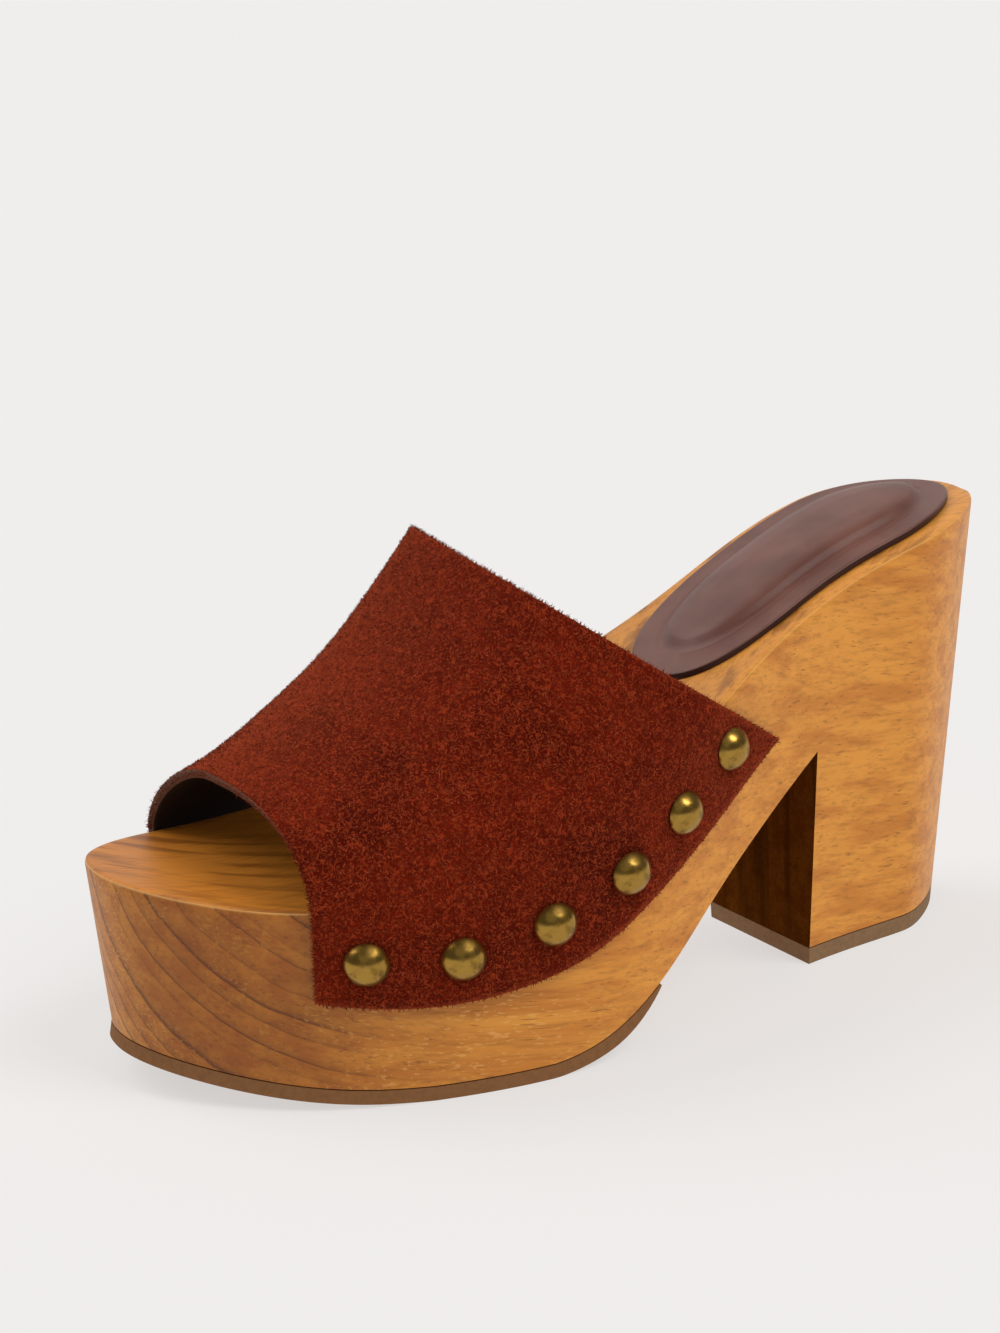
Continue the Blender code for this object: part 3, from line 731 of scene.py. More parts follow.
def upper_lines():
    """Functions of t that give the upper's lengthwise lines, from its outer lower edge to its inner one."""
    lines = []
    for step in range(WALL_STEPS, 0, -1):
        lines.append(lambda t, share=step / WALL_STEPS: upper_wall_point(OUTER, t, share))
    for step in range(ARCH_STEPS + 1):
        lines.append(lambda t, angle=math.pi * step / ARCH_STEPS: upper_section(t, angle))
    for step in range(1, WALL_STEPS + 1):
        lines.append(lambda t, share=step / WALL_STEPS: upper_wall_point(INNER, t, share))
    return lines


def upper_faces_inward(mesh):
    """True if the crown's faces point down."""
    crown = max(mesh.polygons, key=lambda face: face.center.z)
    return crown.normal.z < 0


def nail_seats():
    return [(side, *nail_seat(side, row)) for side in SIDES for row in NAILS]


def press_in(point, normal, seats):
    """A point of the suede, drawn in a little round the nails and given its broad, soft unevenness."""
    drop = 0.0
    for _side, seat, _facing in seats:
        distance = (point - seat).length
        if distance < DIMPLE_RADIUS:
            drop += DIMPLE_DEPTH * 0.5 * (1 + math.cos(math.pi * distance / DIMPLE_RADIUS))
    swell = SWELL_DEPTH * noise.noise(point * SWELL_SCALE)
    return point + normal * (swell - drop)


def build_upper(materials):
    """The outer face between the two plane cuts, then given its thickness inward."""
    toe_pivot = upper_wall_point(OUTER, TOE_EDGE_ALONG * SOLE_LENGTH, 0.0)
    topline_pivot = upper_wall_point(OUTER, TOPLINE_ALONG * SOLE_LENGTH, 1.0)
    rows = []
    for line in upper_lines():
        toe = cut_distance(line, beyond_toe_edge, toe_pivot)
        topline = cut_distance(line, beyond_topline, topline_pivot)
        rows.append([line(t) for t in evenly(toe, topline, LENGTH_STEPS)])
    bm = bmesh.new()
    add_grid(bm, rows)
    upper = to_object(bm, "upper", materials["suede"])
    if upper_faces_inward(upper.data):
        upper.data.flip_normals()
    upper.data.materials.append(materials["lining"])
    upper.data.materials.append(materials["raw edge"])
    seats = nail_seats()
    moved = [press_in(vert.co, vert.normal, seats) for vert in upper.data.vertices]
    for vert, place_now in zip(upper.data.vertices, moved):
        vert.co = place_now
    wall = upper.modifiers.new("suede thickness", "SOLIDIFY")
    wall.thickness = SUEDE_WALL
    wall.offset = -1
    wall.use_even_offset = True
    wall.material_offset = 1
    wall.material_offset_rim = 2
    return upper


def fibre_mesh(name, roots, normals, flows, lengths, lean, tones, material):
    """Short bent fibres as thin blades: each has a foot, a knee and a tip."""
    count = len(roots)
    across = np.cross(normals, flows)
    across /= np.linalg.norm(across, axis=1)[:, None]
    knee = roots + (normals * np.cos(lean)[:, None] + flows * np.sin(lean)[:, None]) * lengths[:, None] * 0.5
    bend = lean + FIBRE_BEND
    tip = knee + (normals * np.cos(bend)[:, None] + flows * np.sin(bend)[:, None]) * lengths[:, None] * 0.5
    half = FIBRE_WIDTH / 2
    verts = np.stack(
        [
            roots - across * half,
            roots + across * half,
            knee + across * half * FIBRE_TAPER,
            knee - across * half * FIBRE_TAPER,
            tip,
        ],
        axis=1,
    ).reshape(-1, 3)
    first = np.arange(count) * 5
    quads = np.stack([first, first + 1, first + 2, first + 3], axis=1)
    points = np.stack([first + 3, first + 2, first + 4], axis=1)
    mesh = bpy.data.meshes.new(name)
    mesh.from_pydata(verts.tolist(), [], quads.tolist() + points.tolist())
    tone = mesh.attributes.new("tone", "FLOAT", "POINT")
    tone.data.foreach_set("value", np.repeat(tones, 5).astype(np.float32))
    mesh.materials.append(material)
    return linked(name, mesh)


def sample_faces(mesh, count, rng):
    """Random points on a mesh, spread evenly by area, with their normals."""
    mesh.calc_loop_triangles()
    corners = np.array([vert.co[:] for vert in mesh.vertices])
    normals = np.array([vert.normal[:] for vert in mesh.vertices])
    triangles = np.array([triangle.vertices[:] for triangle in mesh.loop_triangles])
    a, b, c = (corners[triangles[:, k]] for k in range(3))
    area = np.linalg.norm(np.cross(b - a, c - a), axis=1)
    chosen = rng.choice(len(triangles), count, p=area / area.sum())
    u, v = rng.random(count), rng.random(count)
    fold = u + v > 1
    u[fold], v[fold] = 1 - u[fold], 1 - v[fold]
    w = 1 - u - v
    weights = np.stack([w, u, v], axis=1)[:, :, None]
    points = (corners[triangles[chosen]] * weights).sum(axis=1)
    facing = (normals[triangles[chosen]] * weights).sum(axis=1)
    return points, facing / np.linalg.norm(facing, axis=1)[:, None]


def clumps(points, scale):
    """Soft noise from 0 to 1 at each point."""
    return np.array([0.5 + 0.5 * noise.noise(Vector(point) * scale) for point in points])


def random_flow(normals, rng):
    """A random direction in the surface at each point."""
    wild = rng.normal(size=normals.shape)
    wild -= normals * (wild * normals).sum(axis=1)[:, None]
    return wild / np.linalg.norm(wild, axis=1)[:, None]


def fibre_traits(kind, count, rng, clump=1.0):
    """Random lengths, leans and tones of fibres of one kind."""
    lengths = kind["length"] * (kind["least"] + kind["more"] * rng.random(count))
    lean = kind["lean"] + kind["sway"] * rng.random(count)
    tones = np.clip(kind["tone"] * clump + kind["vary"] * rng.normal(size=count), 0, 1)
    return lengths, lean, tones


def build_nap(upper, material):
    """The suede's nap: short fibres in loose clumps over the whole outer face."""
    rng = np.random.default_rng(NAP_SEED)
    count = NAP_FIBRES
    points, normals = sample_faces(upper.data, count, rng)
    flows = random_flow(normals, rng)
    clump = clumps(points, NAP_CLUMP_SCALE)
    lengths, lean, tones = fibre_traits(NAP, count, rng, clump)
    lengths = lengths * (0.8 + 0.4 * clump)
    return fibre_mesh("nap", points, normals, flows, lengths, lean, tones, material)


def build_edge_fringe(upper, material):
    """Longer loose fibres along every cut edge of the suede."""
    rng = np.random.default_rng(FRINGE_SEED)
    mesh = upper.data
    uses = {}
    for polygon in mesh.polygons:
        for key in polygon.edge_keys:
            uses.setdefault(key, []).append(polygon)
    roots, normals, flows = [], [], []
    for key, polygons in uses.items():
        if len(polygons) > 1:
            continue
        a, b = (mesh.vertices[i] for i in key)
        outward = ((a.co + b.co) / 2 - polygons[0].center).normalized()
        for _ in range(FRINGE_PER_EDGE):
            share = rng.random()
            depth = rng.random() * SUEDE_WALL * FRINGE_DEPTH
            normal = a.normal.lerp(b.normal, share).normalized()
            roots.append(a.co.lerp(b.co, share) - normal * depth)
            flows.append((outward + Vector(rng.normal(size=3)) * FRINGE_SPREAD).normalized())
            normals.append(normal)
    roots, normals, flows = (np.array([v[:] for v in group]) for group in (roots, normals, flows))
    traits = fibre_traits(FRINGE, len(roots), rng)
    return fibre_mesh("edge_fringe", roots, normals, flows, *traits, material)


# Heel pad


def pad_ring(inset, rise):
    """Paired points of the pad's outline, drawn in by `inset` and `rise` above the footbed."""
    back, front = PAD_BACK + inset, PAD_FRONT - inset
    ring = {OUTER: [], INNER: []}
    for k in range(PAD_POINTS + 1):
        t = back + (front - back) * (1 - math.cos(math.pi * k / PAD_POINTS)) / 2
        ends = float(end_rounding(t, back, front, PAD_BACK_ROUND - inset, PAD_FRONT_ROUND - inset))
        half = BALL_WIDTH * float(half_width_share(t)) - PAD_MARGIN - inset
        centre = BALL_WIDTH * float(centre_share(t))
        for side in SIDES:
            x = centre + side * half * ends
            ring[side].append(place(t, x, float(footbed_height(t, x)) + rise))
    return ring


def pad_profile():
    """(inset, rise) of the pad's section, from its foot to the cushioned middle."""
    rim = CLEARANCE + PAD_THICKNESS
    rows = [(0.0, CLEARANCE)] + [(row["inset"], rim - row["below"]) for row in PAD_EDGE_ROWS]
    start, end = PAD_RIM - PAD_STEP_BEFORE, PAD_RIM + PAD_STEP_BEYOND
    for inset in evenly(PAD_FLAT_START, end, PAD_STEP_STEPS):
        share = min(max((inset - start) / (end - start), 0.0), 1.0)
        groove = PAD_GROOVE * math.sin(math.pi * share)
        rows.append((inset, rim - groove + PAD_RISE * share * share * (3 - 2 * share)))
    return rows + [(end + row["beyond"], rim + PAD_RISE + row["rise"]) for row in PAD_MIDDLE_ROWS]


def build_pad(material):
    bm = bmesh.new()
    rings = [pad_ring(inset, rise) for inset, rise in pad_profile()]
    for lower, higher in zip(rings, rings[1:]):
        for side in SIDES:
            add_grid(bm, [lower[side], higher[side]])
    for ring in (rings[0], rings[-1]):
        add_grid(bm, ladder(ring[OUTER], ring[INNER], PAD_CROSS_STEPS))
    return to_object(bm, "pad", material, SHARP_ANGLE_PAD)


# Nails


def nail_seat(side, row):
    """Place on the suede's outer face and the direction that it faces. The head's rim clears the face."""
    t = SOLE_LENGTH * row["along"]
    z = float(edge_height(t, side)) - LASTING_DEPTH * row["depth"]

    def on_face(ahead, above):
        return place(t + ahead, wall_x(side, t + ahead, z + above, CLEARANCE + SUEDE_WALL), z + above)

    reach = NAIL_HEAD_RADIUS
    front, back = on_face(reach, 0), on_face(-reach, 0)
    top, bottom = on_face(0, reach), on_face(0, -reach)
    facing = (front - back).cross(top - bottom).normalized()
    if facing.x * side < 0:
        facing.negate()
    seat = on_face(0, 0)
    hollow = max((rim - seat).dot(facing) for rim in (front, back, top, bottom))
    return seat + facing * max(hollow, 0.0), facing


def turned(bm, profile, segments):
    """Spin a profile of (radius, height) round Z."""
    verts = [bm.verts.new((radius, 0, height)) for radius, height in profile]
    edges = [bm.edges.new(pair) for pair in zip(verts, verts[1:])]
    bmesh.ops.spin(
        bm,
        geom=verts + edges,
        cent=(0, 0, 0),
        axis=(0, 0, 1),
        angle=math.tau,
        steps=segments,
        use_merge=True,
    )


def nail_profile():
    """Half of the nail's head in section, from its top to the foot of the short shank."""
    ball = (NAIL_HEAD_RADIUS**2 + NAIL_HEAD_RISE**2) / (2 * NAIL_HEAD_RISE)
    sweep = math.asin(NAIL_HEAD_RADIUS / ball)
    base = CLEARANCE + NAIL_RIM
    dome = []
    for angle in evenly(0.0, sweep, NAIL_DOME_STEPS):
        dome.append((ball * math.sin(angle), base + NAIL_HEAD_RISE - ball * (1 - math.cos(angle))))
    return dome + [
        (NAIL_HEAD_RADIUS + 0.0001, base - 0.0003),
        (NAIL_HEAD_RADIUS - 0.0002, CLEARANCE - 0.0001),
        (SHANK_RADIUS, CLEARANCE - 0.0001),
        (SHANK_RADIUS, -SUEDE_WALL),
        (0.0, -SUEDE_WALL),
    ]


def build_nails(material):
    bm = bmesh.new()
    turned(bm, nail_profile(), NAIL_SEGMENTS)
    first = to_object(bm, "brass_nail_outer_1", material, SHARP_ANGLE_NAIL)
    nails = {}
    for side, name in ((OUTER, "outer"), (INNER, "inner")):
        for number, row in enumerate(NAILS, start=1):
            point, facing = nail_seat(side, row)
            nail = first
            if nails:
                nail = linked(f"brass_nail_{name}_{number}", first.data)
            nail.location = point
            nail.rotation_euler = facing.to_track_quat("Z", "Y").to_euler()
            nails[f"nail_{name}_{number}"] = nail
    return nails


# Materials


def feed(tree, node, inputs):
    """Link or set some sockets of a node."""
    for socket, value in dict(inputs).items():
        if isinstance(value, bpy.types.NodeSocket):
            tree.links.new(value, node.inputs[socket])
        else:
            node.inputs[socket].default_value = value


def add_node(tree, kind, inputs=(), **settings):
    made = tree.nodes.new(kind)
    for name, value in settings.items():
        setattr(made, name, value)
    feed(tree, made, inputs)
    return made


def new_material(name, inputs):
    """A material, its nodes and its shader, with some of the shader's sockets set."""
    material = bpy.data.materials.new(name)
    material.use_nodes = True
    tree = material.node_tree
    shader = tree.nodes["Principled BSDF"]
    feed(tree, shader, inputs)
    return material, tree, shader


def object_place(tree):
    return add_node(tree, "ShaderNodeTexCoord").outputs["Object"]


def facing(tree):
    return add_node(tree, "ShaderNodeNewGeometry").outputs["Normal"]


def parts(tree, vector):
    """The X, Y and Z of a vector."""
    return tuple(add_node(tree, "ShaderNodeSeparateXYZ", {0: vector}).outputs)


def scaled_place(tree, scale):
    """Object coordinates, scaled alike along each axis."""
    inputs = {"Vector": object_place(tree), "Scale": (scale,) * 3}
    return add_node(tree, "ShaderNodeMapping", inputs).outputs["Vector"]


def noise_value(tree, vector, scale=1.0, detail=3.0, roughness=0.55, distortion=0.0):
    inputs = {"Vector": vector, "Scale": scale, "Detail": detail, "Roughness": roughness}
    inputs["Distortion"] = distortion
    return add_node(tree, "ShaderNodeTexNoise", inputs).outputs["Fac"]


def ranged(tree, value, low, high, to_low=0.0, to_high=1.0):
    inputs = {"Value": value, "From Min": low, "From Max": high, "To Min": to_low, "To Max": to_high}
    return add_node(tree, "ShaderNodeMapRange", inputs, interpolation_type="SMOOTHSTEP").outputs["Result"]


def mixed(tree, share, first, second, blend="MIX"):
    """Two colours mixed. Sockets 0, 6 and 7 of the mix node are its share and its two colours."""
    inputs = {0: share, 6: first, 7: second}
    return add_node(tree, "ShaderNodeMix", inputs, data_type="RGBA", blend_type=blend).outputs[2]


def combined(tree, operation, first, second):
    return add_node(tree, "ShaderNodeMath", {0: first, 1: second}, operation=operation).outputs[0]


def product(tree, first, *others):
    for other in others:
        first = combined(tree, "MULTIPLY", first, other)
    return first


def bumped(tree, shader, height, strength, distance):
    inputs = {"Height": height, "Strength": strength, "Distance": distance}
    bump = add_node(tree, "ShaderNodeBump", inputs)
    feed(tree, shader, {"Normal": bump.outputs["Normal"]})


def grained(tree, turn, scale, move=(0.0, 0.0, 0.0)):
    """Object coordinates, turned so that the grain runs along Y, then scaled per metre and moved."""
    inputs = {"Vector": object_place(tree), "Rotation": turn}
    rotated = add_node(tree, "ShaderNodeVectorRotate", inputs, rotation_type="EULER_XYZ")
    inputs = {"Vector": rotated.outputs["Vector"], "Scale": scale, "Location": move}
    return add_node(tree, "ShaderNodeMapping", inputs).outputs["Vector"]


def figure(tree, turn, scale, detail, roughness=0.55):
    """Noise drawn out along the grain, its scale given across, along and up."""
    return noise_value(tree, grained(tree, turn, scale), detail=detail, roughness=roughness)


def along_radius(tree, radius):
    return add_node(tree, "ShaderNodeCombineXYZ", {0: radius}).outputs[0]


def ring_lines(tree):
    """Dark late-wood lines of the growth rings, which lie round a core beyond the outer side."""
    core = grained(tree, WOOD_TURN, (1, 0.04, 1), WOOD_CORE)
    radius = add_node(tree, "ShaderNodeVectorMath", {0: core}, operation="LENGTH").outputs["Value"]
    for scale, depth in (((26, 7, 26), RING_WARP), ((160, 22, 160), RING_FINE_WARP)):
        radius = combined(tree, "ADD", radius, product(tree, figure(tree, WOOD_TURN, scale, 2.0), depth))
    uneven = noise_value(tree, along_radius(tree, radius), scale=RING_UNEVEN_SCALE, detail=1.0)
    radius = combined(tree, "ADD", radius, product(tree, uneven, RING_UNEVEN))
    ring = combined(tree, "FRACT", product(tree, radius, 1 / RING_SPACING), 0.0)
    early = ranged(tree, ring, 0.94, 1.0, 1.0, 0.0)
    band = product(tree, ranged(tree, ring, 0.10, 0.90), early, RING_BAND)
    line = product(tree, ranged(tree, ring, 0.76, 0.93), early, 1 - RING_BAND)
    strength = noise_value(tree, along_radius(tree, radius), scale=RING_UNEVEN_SCALE * 1.7, detail=0.0)
    return product(tree, combined(tree, "ADD", band, line), ranged(tree, strength, 0.35, 0.6, 0.35, 1.0))


def wood_material():
    """Long fibres and pores all over, growth rings and flecks on the walls, broad streaks on the top.
    Painted shade on the heel's front face, the forefoot's top and the walls facing the toe, and a painted
    highlight on the top edge.
    """
    material, tree, shader = new_material("oiled clog wood", {"Roughness": 0.44})
    facing_x, facing_y, facing_z = parts(tree, facing(tree))
    _x, place_y, _z = parts(tree, object_place(tree))

    # Where each look lies: 1 inside, 0 outside
    top = ranged(tree, facing_z, 0.55, 0.75)
    walls = combined(tree, "SUBTRACT", 1.0, top)
    # The rounded top edge, which gets a painted highlight
    edge = product(tree, ranged(tree, facing_z, 0.15, 0.4), ranged(tree, facing_z, 0.65, 0.85, 1.0, 0.0))
    fore = ranged(tree, place_y, 0.02, -0.06)
    aft = combined(tree, "SUBTRACT", 1.0, fore)
    toe = ranged(tree, place_y, -0.055, -0.095)
    # Walls that face the toe: their end grain's darker tone plus painted shade, strongest on the outer side
    end_grain_and_shade = ranged(tree, facing_y, -0.1, -0.7)
    end_grain_and_shade = product(tree, end_grain_and_shade, ranged(tree, facing_x, 0.15, 0.75, 0.35, 1.0))
    # The heel's front face, where shade is painted
    breast_shade = product(tree, ranged(tree, facing_y, -0.9, -0.97), ranged(tree, place_y, 0.0, 0.02))

    # The figure
    fibre = figure(tree, WOOD_TURN, (1050, 42, 1050), 5.0, 0.65)
    streak = figure(tree, WOOD_TURN, (230, 10, 230), 4.0)
    cloud = figure(tree, WOOD_TURN, (70, 13, 70), 3.0)
    pores = figure(tree, WOOD_TURN, (1500, 75, 1500), 2.0)
    flecks = figure(tree, WOOD_TURN, (1500, 380, 1500), 1.0)
    patches = figure(tree, WOOD_TURN, (60, 40, 60), 2.0)
    plank = figure(tree, WOOD_TURN, (260, 20, 11), 3.0)
    toe_streak = product(tree, figure(tree, TOE_TOP_TURN, (260, 14, 260), 4.0), fore)
    seat_streak = product(tree, figure(tree, SEAT_TURN, (260, 14, 260), 4.0), aft)
    top_streak = combined(tree, "ADD", toe_streak, seat_streak)
    fleck = product(tree, ranged(tree, flecks, 0.59, 0.66), ranged(tree, patches, 0.40, 0.60))
    rings = product(tree, ring_lines(tree), ranged(tree, toe, 0.0, 1.0, RINGS_ON_SIDES, RINGS_AT_TOE), walls)

    colour = mixed(tree, ranged(tree, streak, 0.38, 0.66), WOOD_LIGHT, WOOD_MID)
    layers = [
        (product(tree, ranged(tree, cloud, 0.42, 0.68), 0.32), WOOD_MID, "MIX"),
        (product(tree, top, 0.7), WOOD_TOP, "MIX"),
        (rings, WOOD_DARK, "MIX"),
        (product(tree, ranged(tree, top_streak, 0.48, 0.66), top, 0.6), WOOD_DARK, "MIX"),
        (product(tree, ranged(tree, fibre, 0.45, 0.75), 0.42), WOOD_DARK, "MIX"),
        (product(tree, ranged(tree, pores, 0.64, 0.71), walls, 0.5), WOOD_DARK, "MIX"),
        (product(tree, fleck, fore, walls, 0.5), WOOD_FLECK, "MIX"),
        # End grain tone and painted shade on the walls that face the toe
        (product(tree, end_grain_and_shade, 0.95), WOOD_END_GRAIN_AND_SHADE, "MULTIPLY"),
        # Painted shade on the heel's front face, with its grain streaks darkened to match
        (breast_shade, WOOD_BREAST_SHADE, "MULTIPLY"),
        (product(tree, breast_shade, ranged(tree, plank, 0.45, 0.65), 0.6), SHADED_BREAST_STREAK, "MIX"),
        (product(tree, fore, walls), WOOD_FORE, "MULTIPLY"),
        # Painted shade on the top of the forefoot
        (product(tree, fore, top), WOOD_TOP_FORE_SHADE, "MULTIPLY"),
        # Painted highlight along the rounded top edge
        (product(tree, edge, 0.8), WOOD_EDGE_HIGHLIGHT, "MIX"),
    ]
    for share, tint, blend in layers:
        colour = mixed(tree, share, colour, tint, blend)
    # No shine on the heel's front face, which keeps its painted shade dark
    shine = ranged(tree, breast_shade, 0.0, 1.0, 0.35, 0.0)
    feed(tree, shader, {"Base Color": colour, "Specular IOR Level": shine})
    height = combined(tree, "SUBTRACT", product(tree, fibre, 0.7), product(tree, rings, 0.5))
    bumped(tree, shader, height, 0.35, 0.0003)
    return material


def suede_material():
    """Short curled marks, deep between and light on top, over soft worn patches, and a painted sheen at
    grazing angles.
    """
    inputs = {"Roughness": 0.95, "Specular IOR Level": 0.05, "Sheen Weight": 0.22, "Sheen Roughness": 0.4}
    inputs["Sheen Tint"] = SUEDE_SHEEN
    material, tree, shader = new_material("rust suede", inputs)
    broad = noise_value(tree, scaled_place(tree, 48), detail=4.0)
    marks = noise_value(tree, scaled_place(tree, 850), detail=2.0, roughness=0.6, distortion=1.6)
    colour = mixed(tree, ranged(tree, broad, 0.3, 0.7), SUEDE_DARK, SUEDE_MID)
    colour = mixed(tree, product(tree, ranged(tree, marks, 0.47, 0.62), 0.75), colour, SUEDE_LIGHT_AND_SHEEN)
    # Painted sheen: lighter where the face is seen at a grazing angle
    grazing_sheen = add_node(tree, "ShaderNodeLayerWeight", {"Blend": 0.35}).outputs["Facing"]
    colour = mixed(tree, product(tree, ranged(tree, grazing_sheen, 0.2, 0.7), 0.8), colour, SUEDE_LIGHT_AND_SHEEN)
    feed(tree, shader, {"Base Color": colour})
    bumped(tree, shader, marks, 1.0, 0.0006)
    return material


def nap_material():
    """The fibres take their tone from the mesh: dark at 0, light at 1."""
    material, tree, shader = new_material("suede nap", {"Roughness": 0.9, "Specular IOR Level": 0.08})
    tone = add_node(tree, "ShaderNodeAttribute", attribute_name="tone").outputs["Fac"]
    feed(tree, shader, {"Base Color": mixed(tree, tone, NAP_DARK, NAP_LIGHT)})
    return material


def plain_material(name, colour, roughness, grain, grain_scale):
    """One colour, with a fine grain in its tone and its surface."""
    material, tree, shader = new_material(name, {"Roughness": roughness, "Specular IOR Level": 0.15})
    fine = noise_value(tree, scaled_place(tree, grain_scale), detail=4.0)
    darker = tuple(channel * 0.6 for channel in colour[:3]) + (1.0,)
    tone = mixed(tree, product(tree, ranged(tree, fine, 0.35, 0.7), grain), colour, darker)
    feed(tree, shader, {"Base Color": tone})
    bumped(tree, shader, fine, 0.5, PLAIN_GRAIN_DEPTH)
    return material


def pad_material():
    """Smooth leather with a fine grain, and a dark cut edge."""
    material, tree, shader = new_material("pad leather", {"Roughness": 0.36, "Specular IOR Level": 0.34})
    cells = add_node(tree, "ShaderNodeTexVoronoi", {"Vector": scaled_place(tree, 1400)})
    broad = noise_value(tree, scaled_place(tree, 60), detail=3.0)
    colour = mixed(tree, ranged(tree, broad, 0.3, 0.7), PAD_DARK, PAD_LIGHT)
    _x, _y, facing_z = parts(tree, facing(tree))
    colour = mixed(tree, ranged(tree, facing_z, 0.35, 0.6), PAD_EDGE, colour)
    feed(tree, shader, {"Base Color": colour})
    bumped(tree, shader, cells.outputs["Distance"], 0.25, 0.00012)
    return material


def brass_material():
    material, tree, shader = new_material("aged brass", {"Roughness": 0.30, "Metallic": 1.0})
    patina = noise_value(tree, scaled_place(tree, 300), detail=5.0)
    colour = mixed(tree, ranged(tree, patina, 0.42, 0.66), BRASS_CLEAN, BRASS_DARK)
    feed(tree, shader, {"Base Color": colour, "Roughness": ranged(tree, patina, 0.35, 0.7, 0.22, 0.46)})
    bumped(tree, shader, patina, 0.15, 0.0002)
    return material


def flat_colour(name, colour, roughness):
    return new_material(name, {"Base Color": colour, "Roughness": roughness})[0]


# Floor, light and camera


def build_floor():
    """A wide floor that glows a little, which keeps the shadows on it as pale as in the photograph."""
    inputs = {"Base Color": FLOOR_COLOUR, "Roughness": 0.9, "Specular IOR Level": 0.0}
    inputs |= {"Emission Color": FLOOR_GLOW, "Emission Strength": 1.0}
    material, _tree, _shader = new_material("white floor", inputs)
    reach = FLOOR_REACH
    bm = bmesh.new()
    corners = [(-reach, -reach), (reach, -reach), (reach, reach), (-reach, reach)]
    bm.faces.new([bm.verts.new((x, y, 0.0)) for x, y in corners])
    mesh = bpy.data.meshes.new("floor")
    bm.to_mesh(mesh)
    bm.free()
    mesh.materials.append(material)
    floor = linked("floor", mesh)


def sky_direction(azimuth, elevation):
    """Azimuth from the toe's side round to the outer side, elevation above the floor, both in degrees."""
    side, up = math.radians(azimuth), math.radians(elevation)
    return Vector((math.sin(side) * math.cos(up), -math.cos(side) * math.cos(up), math.sin(up)))


def add_sun(name, azimuth, elevation, strength, softness):
    """A distant light, so that the floor is lit evenly. Its softness is its width in the sky, in degrees."""
    data = bpy.data.lights.new(name, "SUN")
    data.energy = strength
    data.angle = math.radians(softness)
    lamp = linked(name, data)
    towards = sky_direction(azimuth, elevation)
    lamp.location = towards
    lamp.rotation_euler = towards.to_track_quat("Z", "Y").to_euler()


def set_world():
    """Even light from all round. Reflections see a room that is dim but for the bright wall behind the
    shoe, and the camera sees the tone of the floor."""
    world = bpy.data.worlds.new("studio")
    world.use_nodes = True
    tree = world.node_tree
    light = tree.nodes["Background"]
    feed(tree, light, {"Color": WORLD_COLOUR, "Strength": WORLD_STRENGTH})
    looking = add_node(tree, "ShaderNodeTexCoord").outputs["Generated"]
    behind = sky_direction(VIEW_AZIMUTH + 180, ROOM_FAR_ELEVATION)
    inputs = {0: looking, 1: behind}
    along = add_node(tree, "ShaderNodeVectorMath", inputs, operation="DOT_PRODUCT").outputs["Value"]
    room_light = ranged(tree, along, *ROOM_FADE, ROOM_NEAR, ROOM_FAR)
    room = add_node(tree, "ShaderNodeBackground", {"Color": WORLD_COLOUR, "Strength": room_light})
    backdrop = add_node(tree, "ShaderNodeBackground", {"Color": BACKDROP_COLOUR, "Strength": 1.0})
    path = add_node(tree, "ShaderNodeLightPath")
    inputs = {0: path.outputs["Is Glossy Ray"], 1: light.outputs[0], 2: room.outputs[0]}
    lit = add_node(tree, "ShaderNodeMixShader", inputs)
    inputs = {0: path.outputs["Is Camera Ray"], 1: lit.outputs[0], 2: backdrop.outputs[0]}
    seen = add_node(tree, "ShaderNodeMixShader", inputs)
    feed(tree, tree.nodes["World Output"], {"Surface": seen.outputs[0]})
    bpy.context.scene.world = world


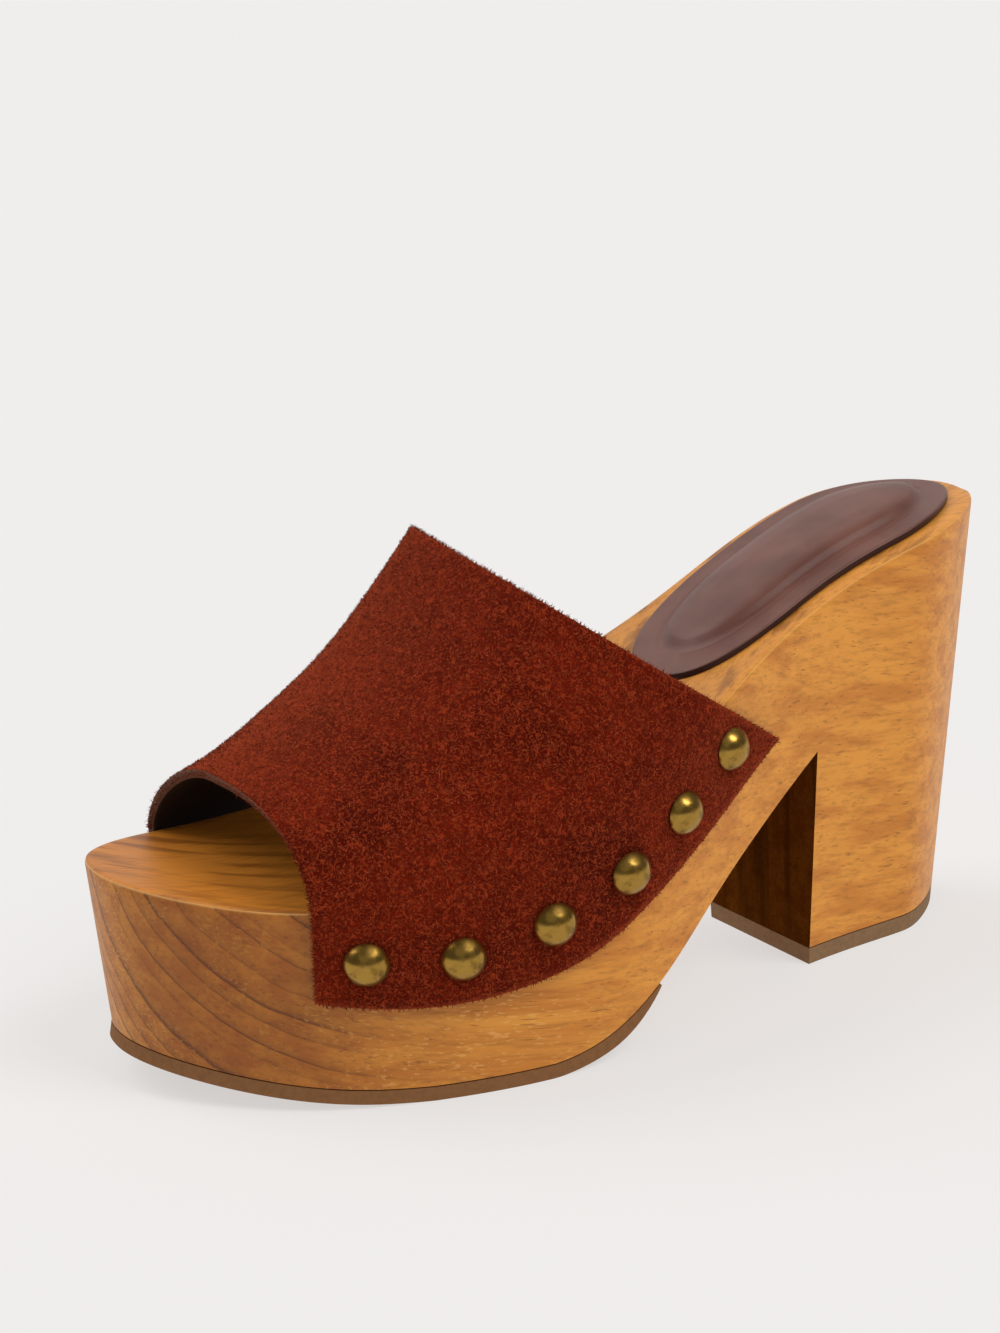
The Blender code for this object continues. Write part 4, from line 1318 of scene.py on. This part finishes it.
def add_camera(shift):
    """The photograph's view, given by its angles round the shoe, its distance and its target."""
    back = sky_direction(VIEW_AZIMUTH, VIEW_ELEVATION)
    right = (-back).cross(Vector((0, 0, 1))).normalized()
    above = right.cross(-back)
    roll = math.radians(VIEW_ROLL)
    turned_right = right * math.cos(roll) + above * math.sin(roll)
    turned_above = above * math.cos(roll) - right * math.sin(roll)
    data = bpy.data.cameras.new("photo view")
    data.lens = VIEW_LENS
    data.sensor_width = VIEW_SENSOR_WIDTH
    data.clip_start = VIEW_NEAREST
    camera = linked("photo view", data)
    axes = Matrix((turned_right, turned_above, back)).transposed()
    camera.rotation_euler = axes.to_euler()
    camera.location = Vector(VIEW_TARGET) + back * VIEW_DISTANCE + shift
    bpy.context.scene.camera = camera


def main():
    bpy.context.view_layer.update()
    outsole_rubber = plain_material("outsole rubber", OUTSOLE_COLOUR, **RUBBER_GRAIN)
    lift_rubber = plain_material("lift rubber", LIFT_COLOUR, **RUBBER_GRAIN)
    suede = {
        "suede": suede_material(),
        "lining": flat_colour("dark lining", LINING_COLOUR, 0.85),
        "raw edge": plain_material("raw edge", RAW_EDGE_COLOUR, **RAW_EDGE_GRAIN),
    }
    nap = nap_material()
    wood = build_wood()
    upper = build_upper(suede)
    pieces = {
        "wood_base": (wood, "wood"),
        "forefoot_outsole": (build_outsole(outsole_rubber), "outsole_rubber"),
        "heel_lift": (build_lift(lift_rubber), "outsole_rubber"),
        "suede_upper": (upper, "suede"),
        "heel_pad": (build_pad(pad_material()), "pad_leather"),
    }
    for node_name, nail in build_nails(brass_material()).items():
        pieces[node_name] = (nail, "aged_brass")
    extras = [build_nap(upper, nap), build_edge_fringe(upper, nap)]
    low, high = (Vector(corner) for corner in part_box("wood_base"))
    own = [wood.matrix_world @ vert.co for vert in wood.data.vertices]
    own_middle = [(min(v[axis] for v in own) + max(v[axis] for v in own)) / 2 for axis in range(2)]
    shift = Vector(((low.x + high.x) / 2 - own_middle[0], (low.y + high.y) / 2 - own_middle[1], 0.0))
    for node_name, (piece, slot_name) in pieces.items():
        piece.location += shift
        bpy.context.view_layer.update()
        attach(piece, "root")
        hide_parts(node_name)
    for piece in extras:
        piece.location += shift
        bpy.context.view_layer.update()
        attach(piece, "root")
    build_floor()
    set_world()
    for row in LIGHTS:
        add_sun(row["name"], row["azimuth"], row["elevation"], row["strength"], row["softness"])
    add_camera(shift)
    bpy.context.scene.view_settings.view_transform = "Standard"


main()
